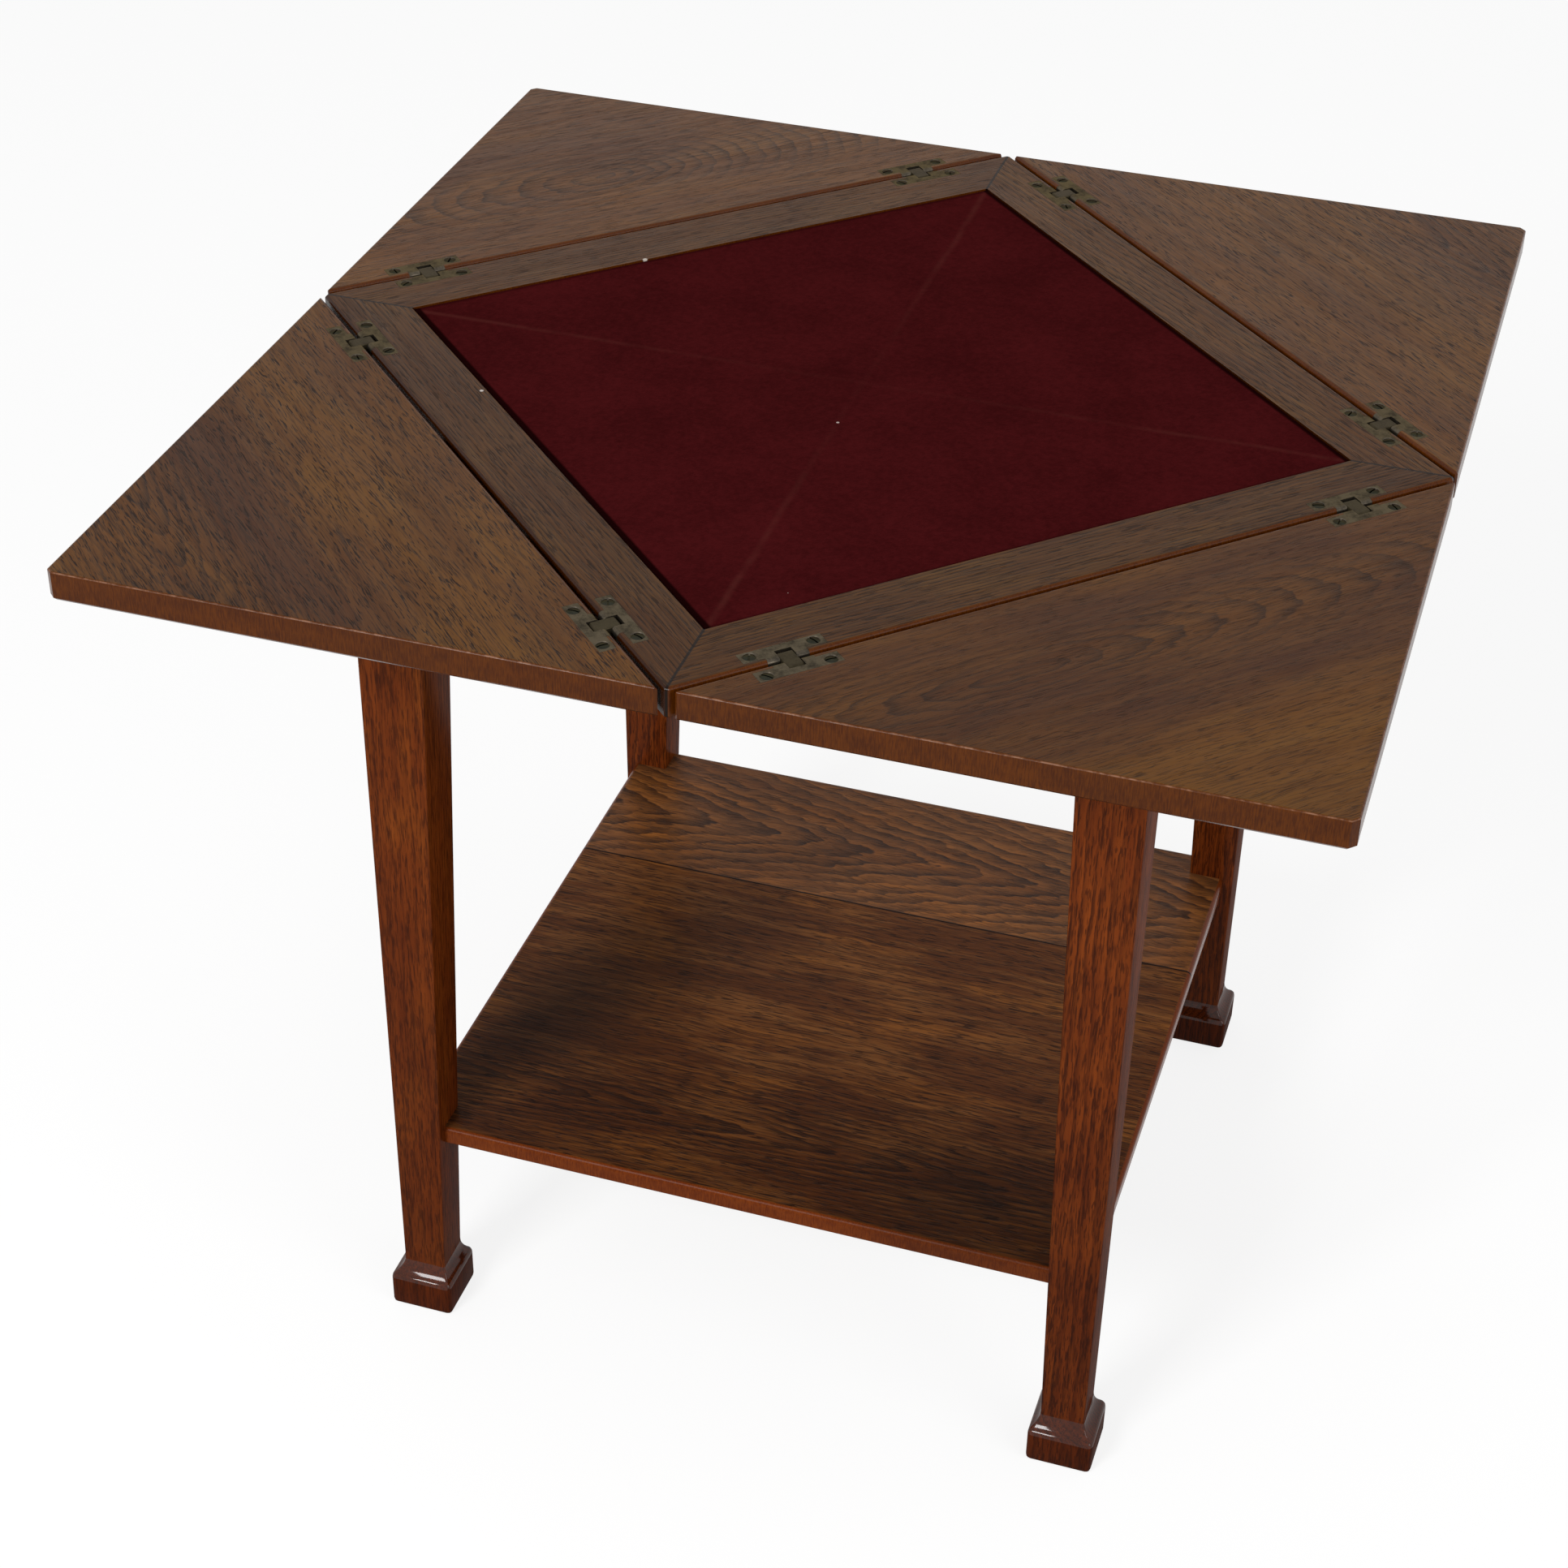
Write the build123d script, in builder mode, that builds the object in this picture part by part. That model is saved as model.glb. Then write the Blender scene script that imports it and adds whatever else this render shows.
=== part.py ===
"""A card table with a square baize panel that turns on its frame, and four flaps that fold in over it."""

from build123d import *
import os
from math import asin, cos, degrees, pi, radians, sin, sqrt

os.makedirs("parts", exist_ok=True)

# Whole table
table_height = 743.0
panel_side = 600.0
base_side = 559.0
top_thickness = 22.0
slide_clearance = 0.3
cut_overrun = 5.0

# Rim, core board and baize
rim_width = 51.0
ledge_width = 12.0
ledge_thickness = 5.5
field_depth = 2.5
baize_thickness = 1.5
baize_margin = 0.3
core_margin = 0.1
panel_corner_cut = 2.5
lower_arris_cut = 1.0

# Flaps
flap_gap = 3.0
flap_shortfall = 2.6
flap_corner_cut = 4.5
flap_tip_width = 2.5
flap_lower_cut = 2.5
flap_arris_radius = 1.8
hinge_arris_radius = 3.0

# Double-pivot hinges
hinge_inset = 85.0
pin_spacing = 10.0
folded_clearance = 0.5
pin_diameter = 3.0
pin_fit = 0.05
pin_round_sides = 6
link_width = 11.4
link_end_radius = 5.2
link_drop = 0.4
link_side_clearance = 0.15
link_end_clearance = 0.3
leaf_length = 59.0
leaf_width = 11.4
leaf_setback = 4.3
leaf_thickness = 2.5
knuckle_width = 29.0
knuckle_reach = 10.9
knuckle_depth = 12.0
leaf_fit = 0.1
hinge_round_sides = 8
screw_spacing = 45.0
screw_setback = 10.6
screw_length = 16.0
screw_head_diameter = 8.4
screw_shank_diameter = 4.0
screw_slot_width = 1.1
screw_slot_depth = 1.0
screw_fit = 0.1

# Legs
leg_side = 50.0
ankle_side = 34.0
foot_side = 51.0
foot_projection = 9.5
foot_height = 30.0
cove_height = 16.0
foot_sole_radius = 4.0

# Frame rails, bearers and corner blocks
rail_height = 60.0
rail_thickness = 20.0
rail_setback = 3.5
tenon_thickness = 8.0
tenon_height = 44.0
tenon_drop = 8.0
tenon_length = 27.5
mortise_end_clearance = 0.5
joint_fit = 0.1
bearer_width = 60.0
bearer_thickness = 20.0
stub_length = 10.0
stub_thickness = 10.0
corner_block_reach = 86.0
corner_block_height = 30.0
corner_block_drop = 12.0

# Shelf
shelf_top_height = 186.0
shelf_thickness = 15.0
shelf_setback = 8.5
shelf_housing = 5.0
back_board_width = 165.0
board_joint_gap = 0.4
shelf_upper_radius = 4.5
shelf_lower_radius = 2.0

# Pivot and stop
pad_side = 120.0
bolt_diameter = 8.0
bolt_head_diameter = 22.0
bolt_head_thickness = 3.0
bolt_fit = 0.05
washer_diameter = 24.0
washer_thickness = 2.0
nut_across_flats = 13.0
nut_thickness = 6.5
bolt_end_length = 2.0
peg_diameter = 24.0
peg_drop = 15.0
peg_seat_depth = 8.0
stop_clearance = 0.3
top_turn = 45.0
pivot_round_sides = 12

# Places that follow from the sizes above
top_z = table_height
under_z = top_z - top_thickness
frame_z = under_z - slide_clearance
panel_half = panel_side / 2
field_side = panel_side - 2 * rim_width
field_z = top_z - field_depth
core_z = under_z + ledge_thickness
flap_edge = panel_half + flap_gap
flap_reach = panel_half - flap_shortfall
leg_face = base_side / 2
leg_inner = leg_face - leg_side
ankle_inner = leg_face - ankle_side
foot_outer = leg_face + foot_projection
foot_inner = foot_outer - foot_side
cove_z = foot_height + cove_height
rail_bottom = frame_z - rail_height
rail_outer = leg_face - rail_setback
rail_inner = rail_outer - rail_thickness
rail_middle = rail_outer - rail_thickness / 2
bearer_bottom = frame_z - bearer_thickness
hinge_x = panel_half - hinge_inset

# Each piece of a kind is modelled at the back and then turned to its own side or corner
flap_turns = {"back_right": -45, "back_left": 45, "front_left": 135, "front_right": 225}
corner_turns = {"back_right": 0, "back_left": 90, "front_left": 180, "front_right": 270}
rail_turns = {"back": 0, "left": 90, "front": 180, "right": 270}
hinge_places = [-hinge_x, hinge_x]


def save(builder, name):
    """Label a finished piece and write it under its own name."""
    builder.part.label = name
    export_step(builder.part, f"parts/{name}.step")


# One hinge leaf, modelled for the flap side: the gap's face of the wood is the plane Y = 0, the
# wood lies towards +Y, and the top surface is Z = 0. Its knuckle is slotted for the link.
pin_depth = (pin_spacing - folded_clearance) / 2
pin_inset = (pin_spacing - flap_gap) / 2
round_share = cos(pi / hinge_round_sides)
pocket_radius = link_end_radius / round_share + link_end_clearance
slot_width = link_width + 2 * link_side_clearance
head_cone_depth = (screw_head_diameter - screw_shank_diameter) / 2
head_slope = 45
flat_turn = 180 / hinge_round_sides
arris_middle = hinge_arris_radius * (1 - cos(pi / 4))
screw_places = [(-screw_spacing / 2, screw_setback), (screw_spacing / 2, screw_setback)]

# The arris along a hinged edge is rounded, so that the flap can swing up past the rim. Where a
# leaf crosses it, the brass is filed off in two bevels just inside the same round.
with BuildPart() as arris_cutter:
    with BuildSketch(Plane.YZ):
        with Locations((hinge_arris_radius / 2, -hinge_arris_radius / 2)):
            Rectangle(hinge_arris_radius, hinge_arris_radius)
        with Locations((-cut_overrun / 2, 0)):
            Rectangle(cut_overrun, 2 * hinge_arris_radius)
        with Locations((hinge_arris_radius, -hinge_arris_radius)):
            Circle(hinge_arris_radius, mode=Mode.SUBTRACT)
    extrude(amount=panel_side, both=True)

with BuildPart() as leaf_bevel_cutter:
    with BuildSketch(Plane.YZ):
        Polygon(
            (hinge_arris_radius, 0),
            (-cut_overrun, 0),
            (-cut_overrun, -hinge_arris_radius),
            (0, -hinge_arris_radius),
            (arris_middle, -arris_middle),
            align=None,
        )
    extrude(amount=leaf_length, both=True)

with BuildPart() as leaf_blank:
    with BuildSketch():
        with Locations((0, leaf_setback + leaf_width / 2)):
            Rectangle(leaf_length, leaf_width)
    extrude(amount=-leaf_thickness)
    with BuildSketch():
        with Locations((0, knuckle_reach / 2)):
            Rectangle(knuckle_width, knuckle_reach)
    extrude(amount=-knuckle_depth)

with BuildPart() as leaf:
    add(leaf_blank.part)
    add(leaf_bevel_cutter.part, mode=Mode.SUBTRACT)
    # The slot is a pocket worked round about the pin, open at the top and towards the gap
    with BuildSketch(Plane.YZ):
        with Locations((pin_inset, -pin_depth)):
            RegularPolygon(pocket_radius, hinge_round_sides, major_radius=False, rotation=flat_turn)
        with Locations(((pin_inset - cut_overrun) / 2, -pin_depth)):
            Rectangle(pin_inset + cut_overrun, 2 * pocket_radius)
        with Locations((pin_inset, (cut_overrun - pin_depth) / 2)):
            Rectangle(2 * pocket_radius, pin_depth + cut_overrun)
    extrude(amount=slot_width / 2, both=True, mode=Mode.SUBTRACT)
    with BuildSketch(Plane.YZ):
        with Locations((pin_inset, -pin_depth)):
            RegularPolygon(pin_diameter / 2 + pin_fit, pin_round_sides, major_radius=False)
    extrude(amount=knuckle_width / 2, both=True, mode=Mode.SUBTRACT)
    with BuildSketch():
        with Locations(*screw_places):
            RegularPolygon(screw_head_diameter / 2 + screw_fit, hinge_round_sides, major_radius=False)
    extrude(amount=-head_cone_depth, taper=head_slope, mode=Mode.SUBTRACT)
    with BuildSketch():
        with Locations(*screw_places):
            RegularPolygon(screw_shank_diameter / 2 + screw_fit, hinge_round_sides, major_radius=False)
    extrude(amount=-leaf_thickness, mode=Mode.SUBTRACT)

# The wood that one leaf and its screws need cut away
with BuildPart() as leaf_recess:
    with BuildSketch():
        with Locations((0, leaf_setback + leaf_width / 2)):
            Rectangle(leaf_length + 2 * leaf_fit, leaf_width + 2 * leaf_fit)
    extrude(amount=-leaf_thickness)
    with BuildSketch():
        with Locations((0, (knuckle_reach + leaf_fit - cut_overrun) / 2)):
            Rectangle(knuckle_width + 2 * leaf_fit, knuckle_reach + leaf_fit + cut_overrun)
    extrude(amount=-knuckle_depth)
    with BuildSketch():
        with Locations(*screw_places):
            RegularPolygon(screw_shank_diameter / 2 + screw_fit, hinge_round_sides, major_radius=False)
    extrude(amount=-(screw_length + screw_fit))

with BuildPart() as screw:
    with BuildSketch():
        RegularPolygon(screw_head_diameter / 2, hinge_round_sides, major_radius=False)
    extrude(amount=-head_cone_depth, taper=head_slope)
    with BuildSketch():
        RegularPolygon(screw_shank_diameter / 2, hinge_round_sides, major_radius=False)
    extrude(amount=-screw_length)
    with BuildSketch():
        Rectangle(screw_head_diameter + cut_overrun, screw_slot_width)
    extrude(amount=-screw_slot_depth, mode=Mode.SUBTRACT)

with BuildPart() as pin:
    with BuildSketch(Plane.YZ):
        with Locations((pin_inset, -pin_depth)):
            RegularPolygon(pin_diameter / 2, pin_round_sides)
    extrude(amount=knuckle_width / 2, both=True)

# The link lies across the gap, with its middle on the gap's centre line. Its ends turn in the
# leaves' pockets, and its top is flat, just under the leaves' faces.
with BuildPart() as link:
    with BuildSketch(Plane.YZ):
        with Locations((0, -pin_depth)):
            Rectangle(pin_spacing, 2 * link_end_radius)
        with Locations((-pin_spacing / 2, -pin_depth), (pin_spacing / 2, -pin_depth)):
            RegularPolygon(link_end_radius, hinge_round_sides, major_radius=False, rotation=flat_turn)
        with Locations((0, -link_drop - knuckle_depth / 2)):
            Rectangle(pin_spacing + 4 * link_end_radius, knuckle_depth, mode=Mode.INTERSECT)
        with Locations((-pin_spacing / 2, -pin_depth), (pin_spacing / 2, -pin_depth)):
            RegularPolygon(
                pin_diameter / 2 + pin_fit,
                pin_round_sides,
                major_radius=False,
                mode=Mode.SUBTRACT,
            )
    extrude(amount=link_width / 2, both=True)

# Panel: rim with its ledge, worked as one square ring and then cut at the mitres
with BuildPart() as panel_ring:
    with BuildSketch(Plane.XY.offset(under_z)):
        Rectangle(panel_side, panel_side)
        chamfer(vertices(), panel_corner_cut)
    extrude(amount=top_thickness)
    fillet(faces().sort_by(Axis.Z)[-1].outer_wire().edges(), hinge_arris_radius)
    chamfer(faces().sort_by(Axis.Z)[0].outer_wire().edges(), lower_arris_cut)
    with BuildSketch(Plane.XY.offset(under_z)):
        Rectangle(field_side - 2 * ledge_width, field_side - 2 * ledge_width)
    extrude(amount=top_thickness, mode=Mode.SUBTRACT)
    with BuildSketch(Plane.XY.offset(core_z)):
        Rectangle(field_side, field_side)
    extrude(amount=top_thickness, mode=Mode.SUBTRACT)

with BuildPart() as rim:
    add(panel_ring.part)
    with BuildSketch(Plane.XY.offset(under_z)):
        Polygon((0, 0), (panel_side, panel_side), (-panel_side, panel_side), align=None)
    extrude(amount=top_thickness, mode=Mode.INTERSECT)
    with Locations(*[(x, panel_half, top_z) for x in hinge_places]):
        add(leaf_recess.part, rotation=(0, 0, 180), mode=Mode.SUBTRACT)

# Flap: a right-angled triangle with its long side on the hinge line
with BuildPart() as flap:
    with BuildSketch(Plane.XY.offset(under_z)):
        with BuildLine():
            Polyline(
                (-flap_reach + flap_tip_width, flap_edge),
                (flap_reach - flap_tip_width, flap_edge),
                (flap_reach - flap_tip_width, flap_edge + flap_tip_width),
                (0, flap_edge + flap_reach),
                (-flap_reach + flap_tip_width, flap_edge + flap_tip_width),
                close=True,
            )
        make_face()
        chamfer(vertices().sort_by(Axis.Y)[-1], flap_corner_cut)
    extrude(amount=top_thickness)
    outer_edges = faces().sort_by(Axis.Z)[-1].edges().filter_by_position(
        Axis.Y, flap_edge + flap_tip_width, flap_edge + flap_reach
    )
    fillet(outer_edges, flap_arris_radius)
    under_edges = faces().sort_by(Axis.Z)[0].edges().filter_by_position(
        Axis.Y, flap_edge + flap_tip_width, flap_edge + flap_reach
    )
    chamfer(under_edges, flap_lower_cut)
    with Locations((0, flap_edge, top_z)):
        add(arris_cutter.part, mode=Mode.SUBTRACT)
    with Locations(*[(x, flap_edge, top_z) for x in hinge_places]):
        add(leaf_recess.part, mode=Mode.SUBTRACT)

hinge_axis_y = (panel_half + flap_edge) / 2

for side, angle in flap_turns.items():
    turn = (0, 0, angle)

    with BuildPart() as side_rim:
        add(rim.part, rotation=turn)
    save(side_rim, f"rim_{side}")

    with BuildPart() as side_flap:
        add(flap.part, rotation=turn)
    save(side_flap, f"flap_{side}")

    with BuildPart() as rim_pair:
        with Locations(*[(x, panel_half, top_z) for x in hinge_places]):
            add(leaf.part, rotation=(0, 0, 180))
    with BuildPart() as rim_leaves:
        add(rim_pair.part, rotation=turn)
    save(rim_leaves, f"rim_leaves_{side}")

    with BuildPart() as flap_pair:
        with Locations(*[(x, flap_edge, top_z) for x in hinge_places]):
            add(leaf.part)
    with BuildPart() as flap_leaves:
        add(flap_pair.part, rotation=turn)
    save(flap_leaves, f"flap_leaves_{side}")

    with BuildPart() as link_pair:
        with Locations(*[(x, hinge_axis_y, top_z) for x in hinge_places]):
            add(link.part)
    with BuildPart() as links:
        add(link_pair.part, rotation=turn)
    save(links, f"links_{side}")

    with BuildPart() as pin_pair:
        with Locations(*[(x, flap_edge, top_z) for x in hinge_places]):
            add(pin.part)
    with BuildPart() as flap_pins:
        add(pin_pair.part, rotation=turn)
    save(flap_pins, f"flap_pins_{side}")

    with BuildPart() as screw_set:
        with Locations(
            *[(x + u, flap_edge + v, top_z) for x in hinge_places for u, v in screw_places]
        ):
            add(screw.part)
    with BuildPart() as flap_screws:
        add(screw_set.part, rotation=turn)
    save(flap_screws, f"flap_screws_{side}")

with BuildPart() as side_pins:
    with Locations(*[(x, panel_half, top_z) for x in hinge_places]):
        add(pin.part, rotation=(0, 0, 180))
with BuildPart() as rim_pins:
    for angle in flap_turns.values():
        add(side_pins.part, rotation=(0, 0, angle))
save(rim_pins, "rim_pins")

with BuildPart() as side_screws:
    with Locations(
        *[(x + u, panel_half - v, top_z) for x in hinge_places for u, v in screw_places]
    ):
        add(screw.part)
with BuildPart() as rim_screws:
    for angle in flap_turns.values():
        add(side_screws.part, rotation=(0, 0, angle))
save(rim_screws, "rim_screws")

# The stop peg travels between two bearers, so its place sets how far the top can turn
peg_reach = bearer_width / 2 + stop_clearance + peg_diameter / 2
peg_start = (90 - top_turn) / 2
peg_distance = peg_reach / sin(radians(peg_start))
peg_place = (peg_distance * cos(radians(peg_start)), peg_distance * sin(radians(peg_start)))
bolt_radius = bolt_diameter / 2

with BuildPart() as core_board:
    core_side = field_side - 2 * core_margin
    core_thickness = field_z - core_z
    with BuildSketch(Plane.XY.offset(core_z)):
        Rectangle(core_side, core_side, rotation=45)
    extrude(amount=core_thickness)
    with BuildSketch(Plane.XY.offset(field_z)):
        RegularPolygon(bolt_head_diameter / 2 + bolt_fit, pivot_round_sides, major_radius=False)
    extrude(amount=-bolt_head_thickness, mode=Mode.SUBTRACT)
    with BuildSketch(Plane.XY.offset(field_z)):
        RegularPolygon(bolt_radius + bolt_fit, pivot_round_sides, major_radius=False)
    extrude(amount=-core_thickness, mode=Mode.SUBTRACT)
    with BuildSketch(Plane.XY.offset(core_z)):
        with Locations(peg_place):
            RegularPolygon(peg_diameter / 2 + bolt_fit, pivot_round_sides, major_radius=False)
    extrude(amount=peg_seat_depth, mode=Mode.SUBTRACT)
save(core_board, "core_board")

with BuildPart() as baize:
    baize_side = field_side - 2 * baize_margin
    with BuildSketch(Plane.XY.offset(field_z)):
        Rectangle(baize_side, baize_side, rotation=45)
    extrude(amount=baize_thickness)
save(baize, "baize")

# Pad: it fills the ledge's depth under the core board and bears on the crossed bearers
with BuildPart() as swivel_pad:
    with BuildSketch(Plane.XY.offset(under_z)):
        Rectangle(pad_side, pad_side, rotation=45)
        RegularPolygon(bolt_radius + bolt_fit, pivot_round_sides, major_radius=False, mode=Mode.SUBTRACT)
    extrude(amount=ledge_thickness)
save(swivel_pad, "swivel_pad")

with BuildPart() as stop_peg:
    with BuildSketch(Plane.XY.offset(frame_z - peg_drop)):
        with Locations(peg_place):
            RegularPolygon(peg_diameter / 2, pivot_round_sides)
    extrude(amount=peg_drop + core_z - frame_z + peg_seat_depth - bolt_fit)
save(stop_peg, "stop_peg")

washer_top = bearer_bottom - slide_clearance
nut_top = washer_top - washer_thickness
bolt_end = nut_top - nut_thickness - bolt_end_length

with BuildPart() as pivot_bolt:
    with BuildSketch(Plane.XY.offset(bolt_end)):
        RegularPolygon(bolt_radius, pivot_round_sides)
    extrude(amount=field_z - bolt_end)
    with BuildSketch(Plane.XY.offset(field_z - bolt_head_thickness)):
        RegularPolygon(bolt_head_diameter / 2, pivot_round_sides)
    extrude(amount=bolt_head_thickness)
save(pivot_bolt, "pivot_bolt")

with BuildPart() as pivot_washer:
    with BuildSketch(Plane.XY.offset(nut_top)):
        RegularPolygon(washer_diameter / 2, pivot_round_sides)
        RegularPolygon(bolt_radius + bolt_fit, pivot_round_sides, major_radius=False, mode=Mode.SUBTRACT)
    extrude(amount=washer_thickness)
save(pivot_washer, "pivot_washer")

with BuildPart() as pivot_nut:
    with BuildSketch(Plane.XY.offset(nut_top - nut_thickness)):
        RegularPolygon(nut_across_flats / 2, 6, major_radius=False)
        RegularPolygon(bolt_radius + bolt_fit, pivot_round_sides, major_radius=False, mode=Mode.SUBTRACT)
    extrude(amount=nut_thickness)
save(pivot_nut, "pivot_nut")

# Bearers: the crosswise one lies in the upper half of the lap, the lengthwise one in the lower
bearer_span = 2 * rail_inner
lap_z = frame_z - bearer_thickness / 2

with BuildPart() as bearer_blank:
    with BuildSketch(Plane.XY.offset(bearer_bottom)):
        Rectangle(bearer_span, bearer_width)
    extrude(amount=bearer_thickness)
    with BuildSketch(Plane.XY.offset(lap_z - stub_thickness / 2)):
        Rectangle(bearer_span + 2 * stub_length, bearer_width)
    extrude(amount=stub_thickness)
    with BuildSketch(Plane.XY.offset(bearer_bottom)):
        RegularPolygon(bolt_radius + bolt_fit, pivot_round_sides, major_radius=False)
    extrude(amount=bearer_thickness, mode=Mode.SUBTRACT)

with BuildPart() as bearer_lengthwise:
    add(bearer_blank.part)
    with BuildSketch(Plane.XY.offset(lap_z)):
        Rectangle(bearer_width + 2 * joint_fit, bearer_width)
    extrude(amount=bearer_thickness, mode=Mode.SUBTRACT)
save(bearer_lengthwise, "bearer_lengthwise")

with BuildPart() as bearer_crosswise:
    add(bearer_blank.part, rotation=(0, 0, 90))
    with BuildSketch(Plane.XY.offset(lap_z)):
        Rectangle(bearer_width, bearer_width + 2 * joint_fit)
    extrude(amount=-bearer_thickness, mode=Mode.SUBTRACT)
save(bearer_crosswise, "bearer_crosswise")

# Rail: modelled at the back, between the two back legs
with BuildPart() as rail:
    rail_length = 2 * leg_inner
    with BuildSketch(Plane.XY.offset(rail_bottom)):
        with Locations((0, rail_middle)):
            Rectangle(rail_length, rail_thickness)
    extrude(amount=rail_height)
    chamfer(
        edges().filter_by(Axis.X).group_by(Axis.Z)[0],
        lower_arris_cut,
    )
    with BuildSketch(Plane.XY.offset(frame_z - tenon_drop)):
        with Locations((0, rail_middle)):
            Rectangle(rail_length + 2 * tenon_length, tenon_thickness)
    extrude(amount=-tenon_height)
    with BuildSketch(Plane.XY.offset(lap_z - stub_thickness / 2 - joint_fit)):
        with Locations((0, rail_inner)):
            Rectangle(bearer_width + 2 * joint_fit, 2 * (stub_length + joint_fit))
    extrude(amount=stub_thickness + 2 * joint_fit, mode=Mode.SUBTRACT)

for name, turn in rail_turns.items():
    with BuildPart() as side_rail:
        add(rail.part, rotation=(0, 0, turn))
    save(side_rail, f"rail_{name}")

# Corner block: glued to two rails and notched round the leg between them
with BuildPart() as corner_block:
    block_start = rail_inner - corner_block_reach
    with BuildSketch(Plane.XY.offset(frame_z - corner_block_drop)):
        with BuildLine():
            Polyline(
                (rail_inner, block_start),
                (rail_inner, leg_inner),
                (leg_inner, leg_inner),
                (leg_inner, rail_inner),
                (block_start, rail_inner),
                close=True,
            )
        make_face()
    extrude(amount=-corner_block_height)

for name, turn in corner_turns.items():
    with BuildPart() as block:
        add(corner_block.part, rotation=(0, 0, turn))
    save(block, f"corner_block_{name}")

# Leg: below the ankle the foot's profile is cut from two neighbouring faces, as it is sawn from
# the square. Above it the outer faces run straight up, and the inner faces taper to the rails.
shelf_half = leg_face - shelf_setback
shelf_notch = leg_face - ankle_side + shelf_housing
shelf_z = shelf_top_height - shelf_thickness
leg_middle = (leg_face + leg_inner) / 2
ankle_middle = (leg_face + ankle_inner) / 2

with BuildSketch() as foot_profile:
    with BuildLine():
        Polyline((ankle_inner, cove_z), (leg_face, cove_z))
        TangentArc((leg_face, cove_z), (foot_outer, foot_height), tangent=(0, -1))
        Polyline((foot_outer, foot_height), (foot_outer, 0), (foot_inner, 0), (foot_inner, foot_height))
        TangentArc((ankle_inner, cove_z), (foot_inner, foot_height), tangent=(0, -1))
    make_face()

with BuildPart() as foot:
    with BuildSketch(Plane.XZ):
        add(foot_profile.sketch)
    extrude(amount=-base_side)
    with BuildSketch(Plane.YZ):
        add(foot_profile.sketch)
    extrude(amount=base_side, mode=Mode.INTERSECT)
    fillet(faces().sort_by(Axis.Z)[0].edges(), foot_sole_radius)

with BuildPart() as leg:
    with BuildSketch(Plane.XY.offset(frame_z)):
        with Locations((leg_middle, leg_middle)):
            Rectangle(leg_side, leg_side)
    with BuildSketch(Plane.XY.offset(rail_bottom)):
        with Locations((leg_middle, leg_middle)):
            Rectangle(leg_side, leg_side)
    with BuildSketch(Plane.XY.offset(cove_z)):
        with Locations((ankle_middle, ankle_middle)):
            Rectangle(ankle_side, ankle_side)
    loft(ruled=True)
    add(foot.part)
    # Mortises for the two rails
    mortise_depth = tenon_length + mortise_end_clearance
    with BuildSketch(Plane.XY.offset(frame_z - tenon_drop + joint_fit)):
        with Locations((leg_inner + (mortise_depth - cut_overrun) / 2, rail_middle)):
            Rectangle(mortise_depth + cut_overrun, tenon_thickness + 2 * joint_fit)
        with Locations((rail_middle, leg_inner + (mortise_depth - cut_overrun) / 2)):
            Rectangle(tenon_thickness + 2 * joint_fit, mortise_depth + cut_overrun)
    extrude(amount=-(tenon_height + 2 * joint_fit), mode=Mode.SUBTRACT)
    # Housing for the notched corner of the shelf
    with BuildSketch(Plane.XY.offset(shelf_z)):
        Rectangle(2 * shelf_half, 2 * shelf_half)
        with Locations((shelf_half, shelf_half)):
            Rectangle(2 * (shelf_half - shelf_notch), 2 * (shelf_half - shelf_notch), mode=Mode.SUBTRACT)
    extrude(amount=shelf_thickness, mode=Mode.SUBTRACT)

for name, turn in corner_turns.items():
    with BuildPart() as corner_leg:
        add(leg.part, rotation=(0, 0, turn))
    save(corner_leg, f"leg_{name}")

# Shelf: one square with notched corners and rounded edges, sawn into its two boards
with BuildPart() as shelf_blank:
    with BuildSketch(Plane.XY.offset(shelf_z)):
        Rectangle(2 * shelf_half, 2 * shelf_half)
    extrude(amount=shelf_thickness)
    fillet(faces().sort_by(Axis.Z)[-1].edges(), shelf_upper_radius)
    fillet(faces().sort_by(Axis.Z)[0].edges(), shelf_lower_radius)
    notch_side = 2 * (shelf_half - shelf_notch)
    with BuildSketch(Plane.XY.offset(shelf_z)):
        with GridLocations(2 * shelf_half, 2 * shelf_half, 2, 2):
            Rectangle(notch_side, notch_side)
    extrude(amount=shelf_thickness, mode=Mode.SUBTRACT)

board_joint_y = shelf_half - back_board_width

with BuildPart() as shelf_board_back:
    add(shelf_blank.part)
    split(bisect_by=Plane.XZ.offset(-(board_joint_y + board_joint_gap / 2)), keep=Keep.BOTTOM)
save(shelf_board_back, "shelf_board_back")

with BuildPart() as shelf_board_front:
    add(shelf_blank.part)
    split(bisect_by=Plane.XZ.offset(-(board_joint_y - board_joint_gap / 2)), keep=Keep.TOP)
save(shelf_board_front, "shelf_board_front")

print("open top", round((flap_edge + flap_reach) * sqrt(2), 1), "mm square")
print("stop peg at", round(peg_distance, 1), "mm,", round(degrees(asin(peg_reach / peg_distance)), 2), "degrees")
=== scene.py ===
"""The looks of the folding card table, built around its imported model."""

from math import asin, cos, pi, radians, sin

import bpy
from mathutils import Matrix, Vector, noise


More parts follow.
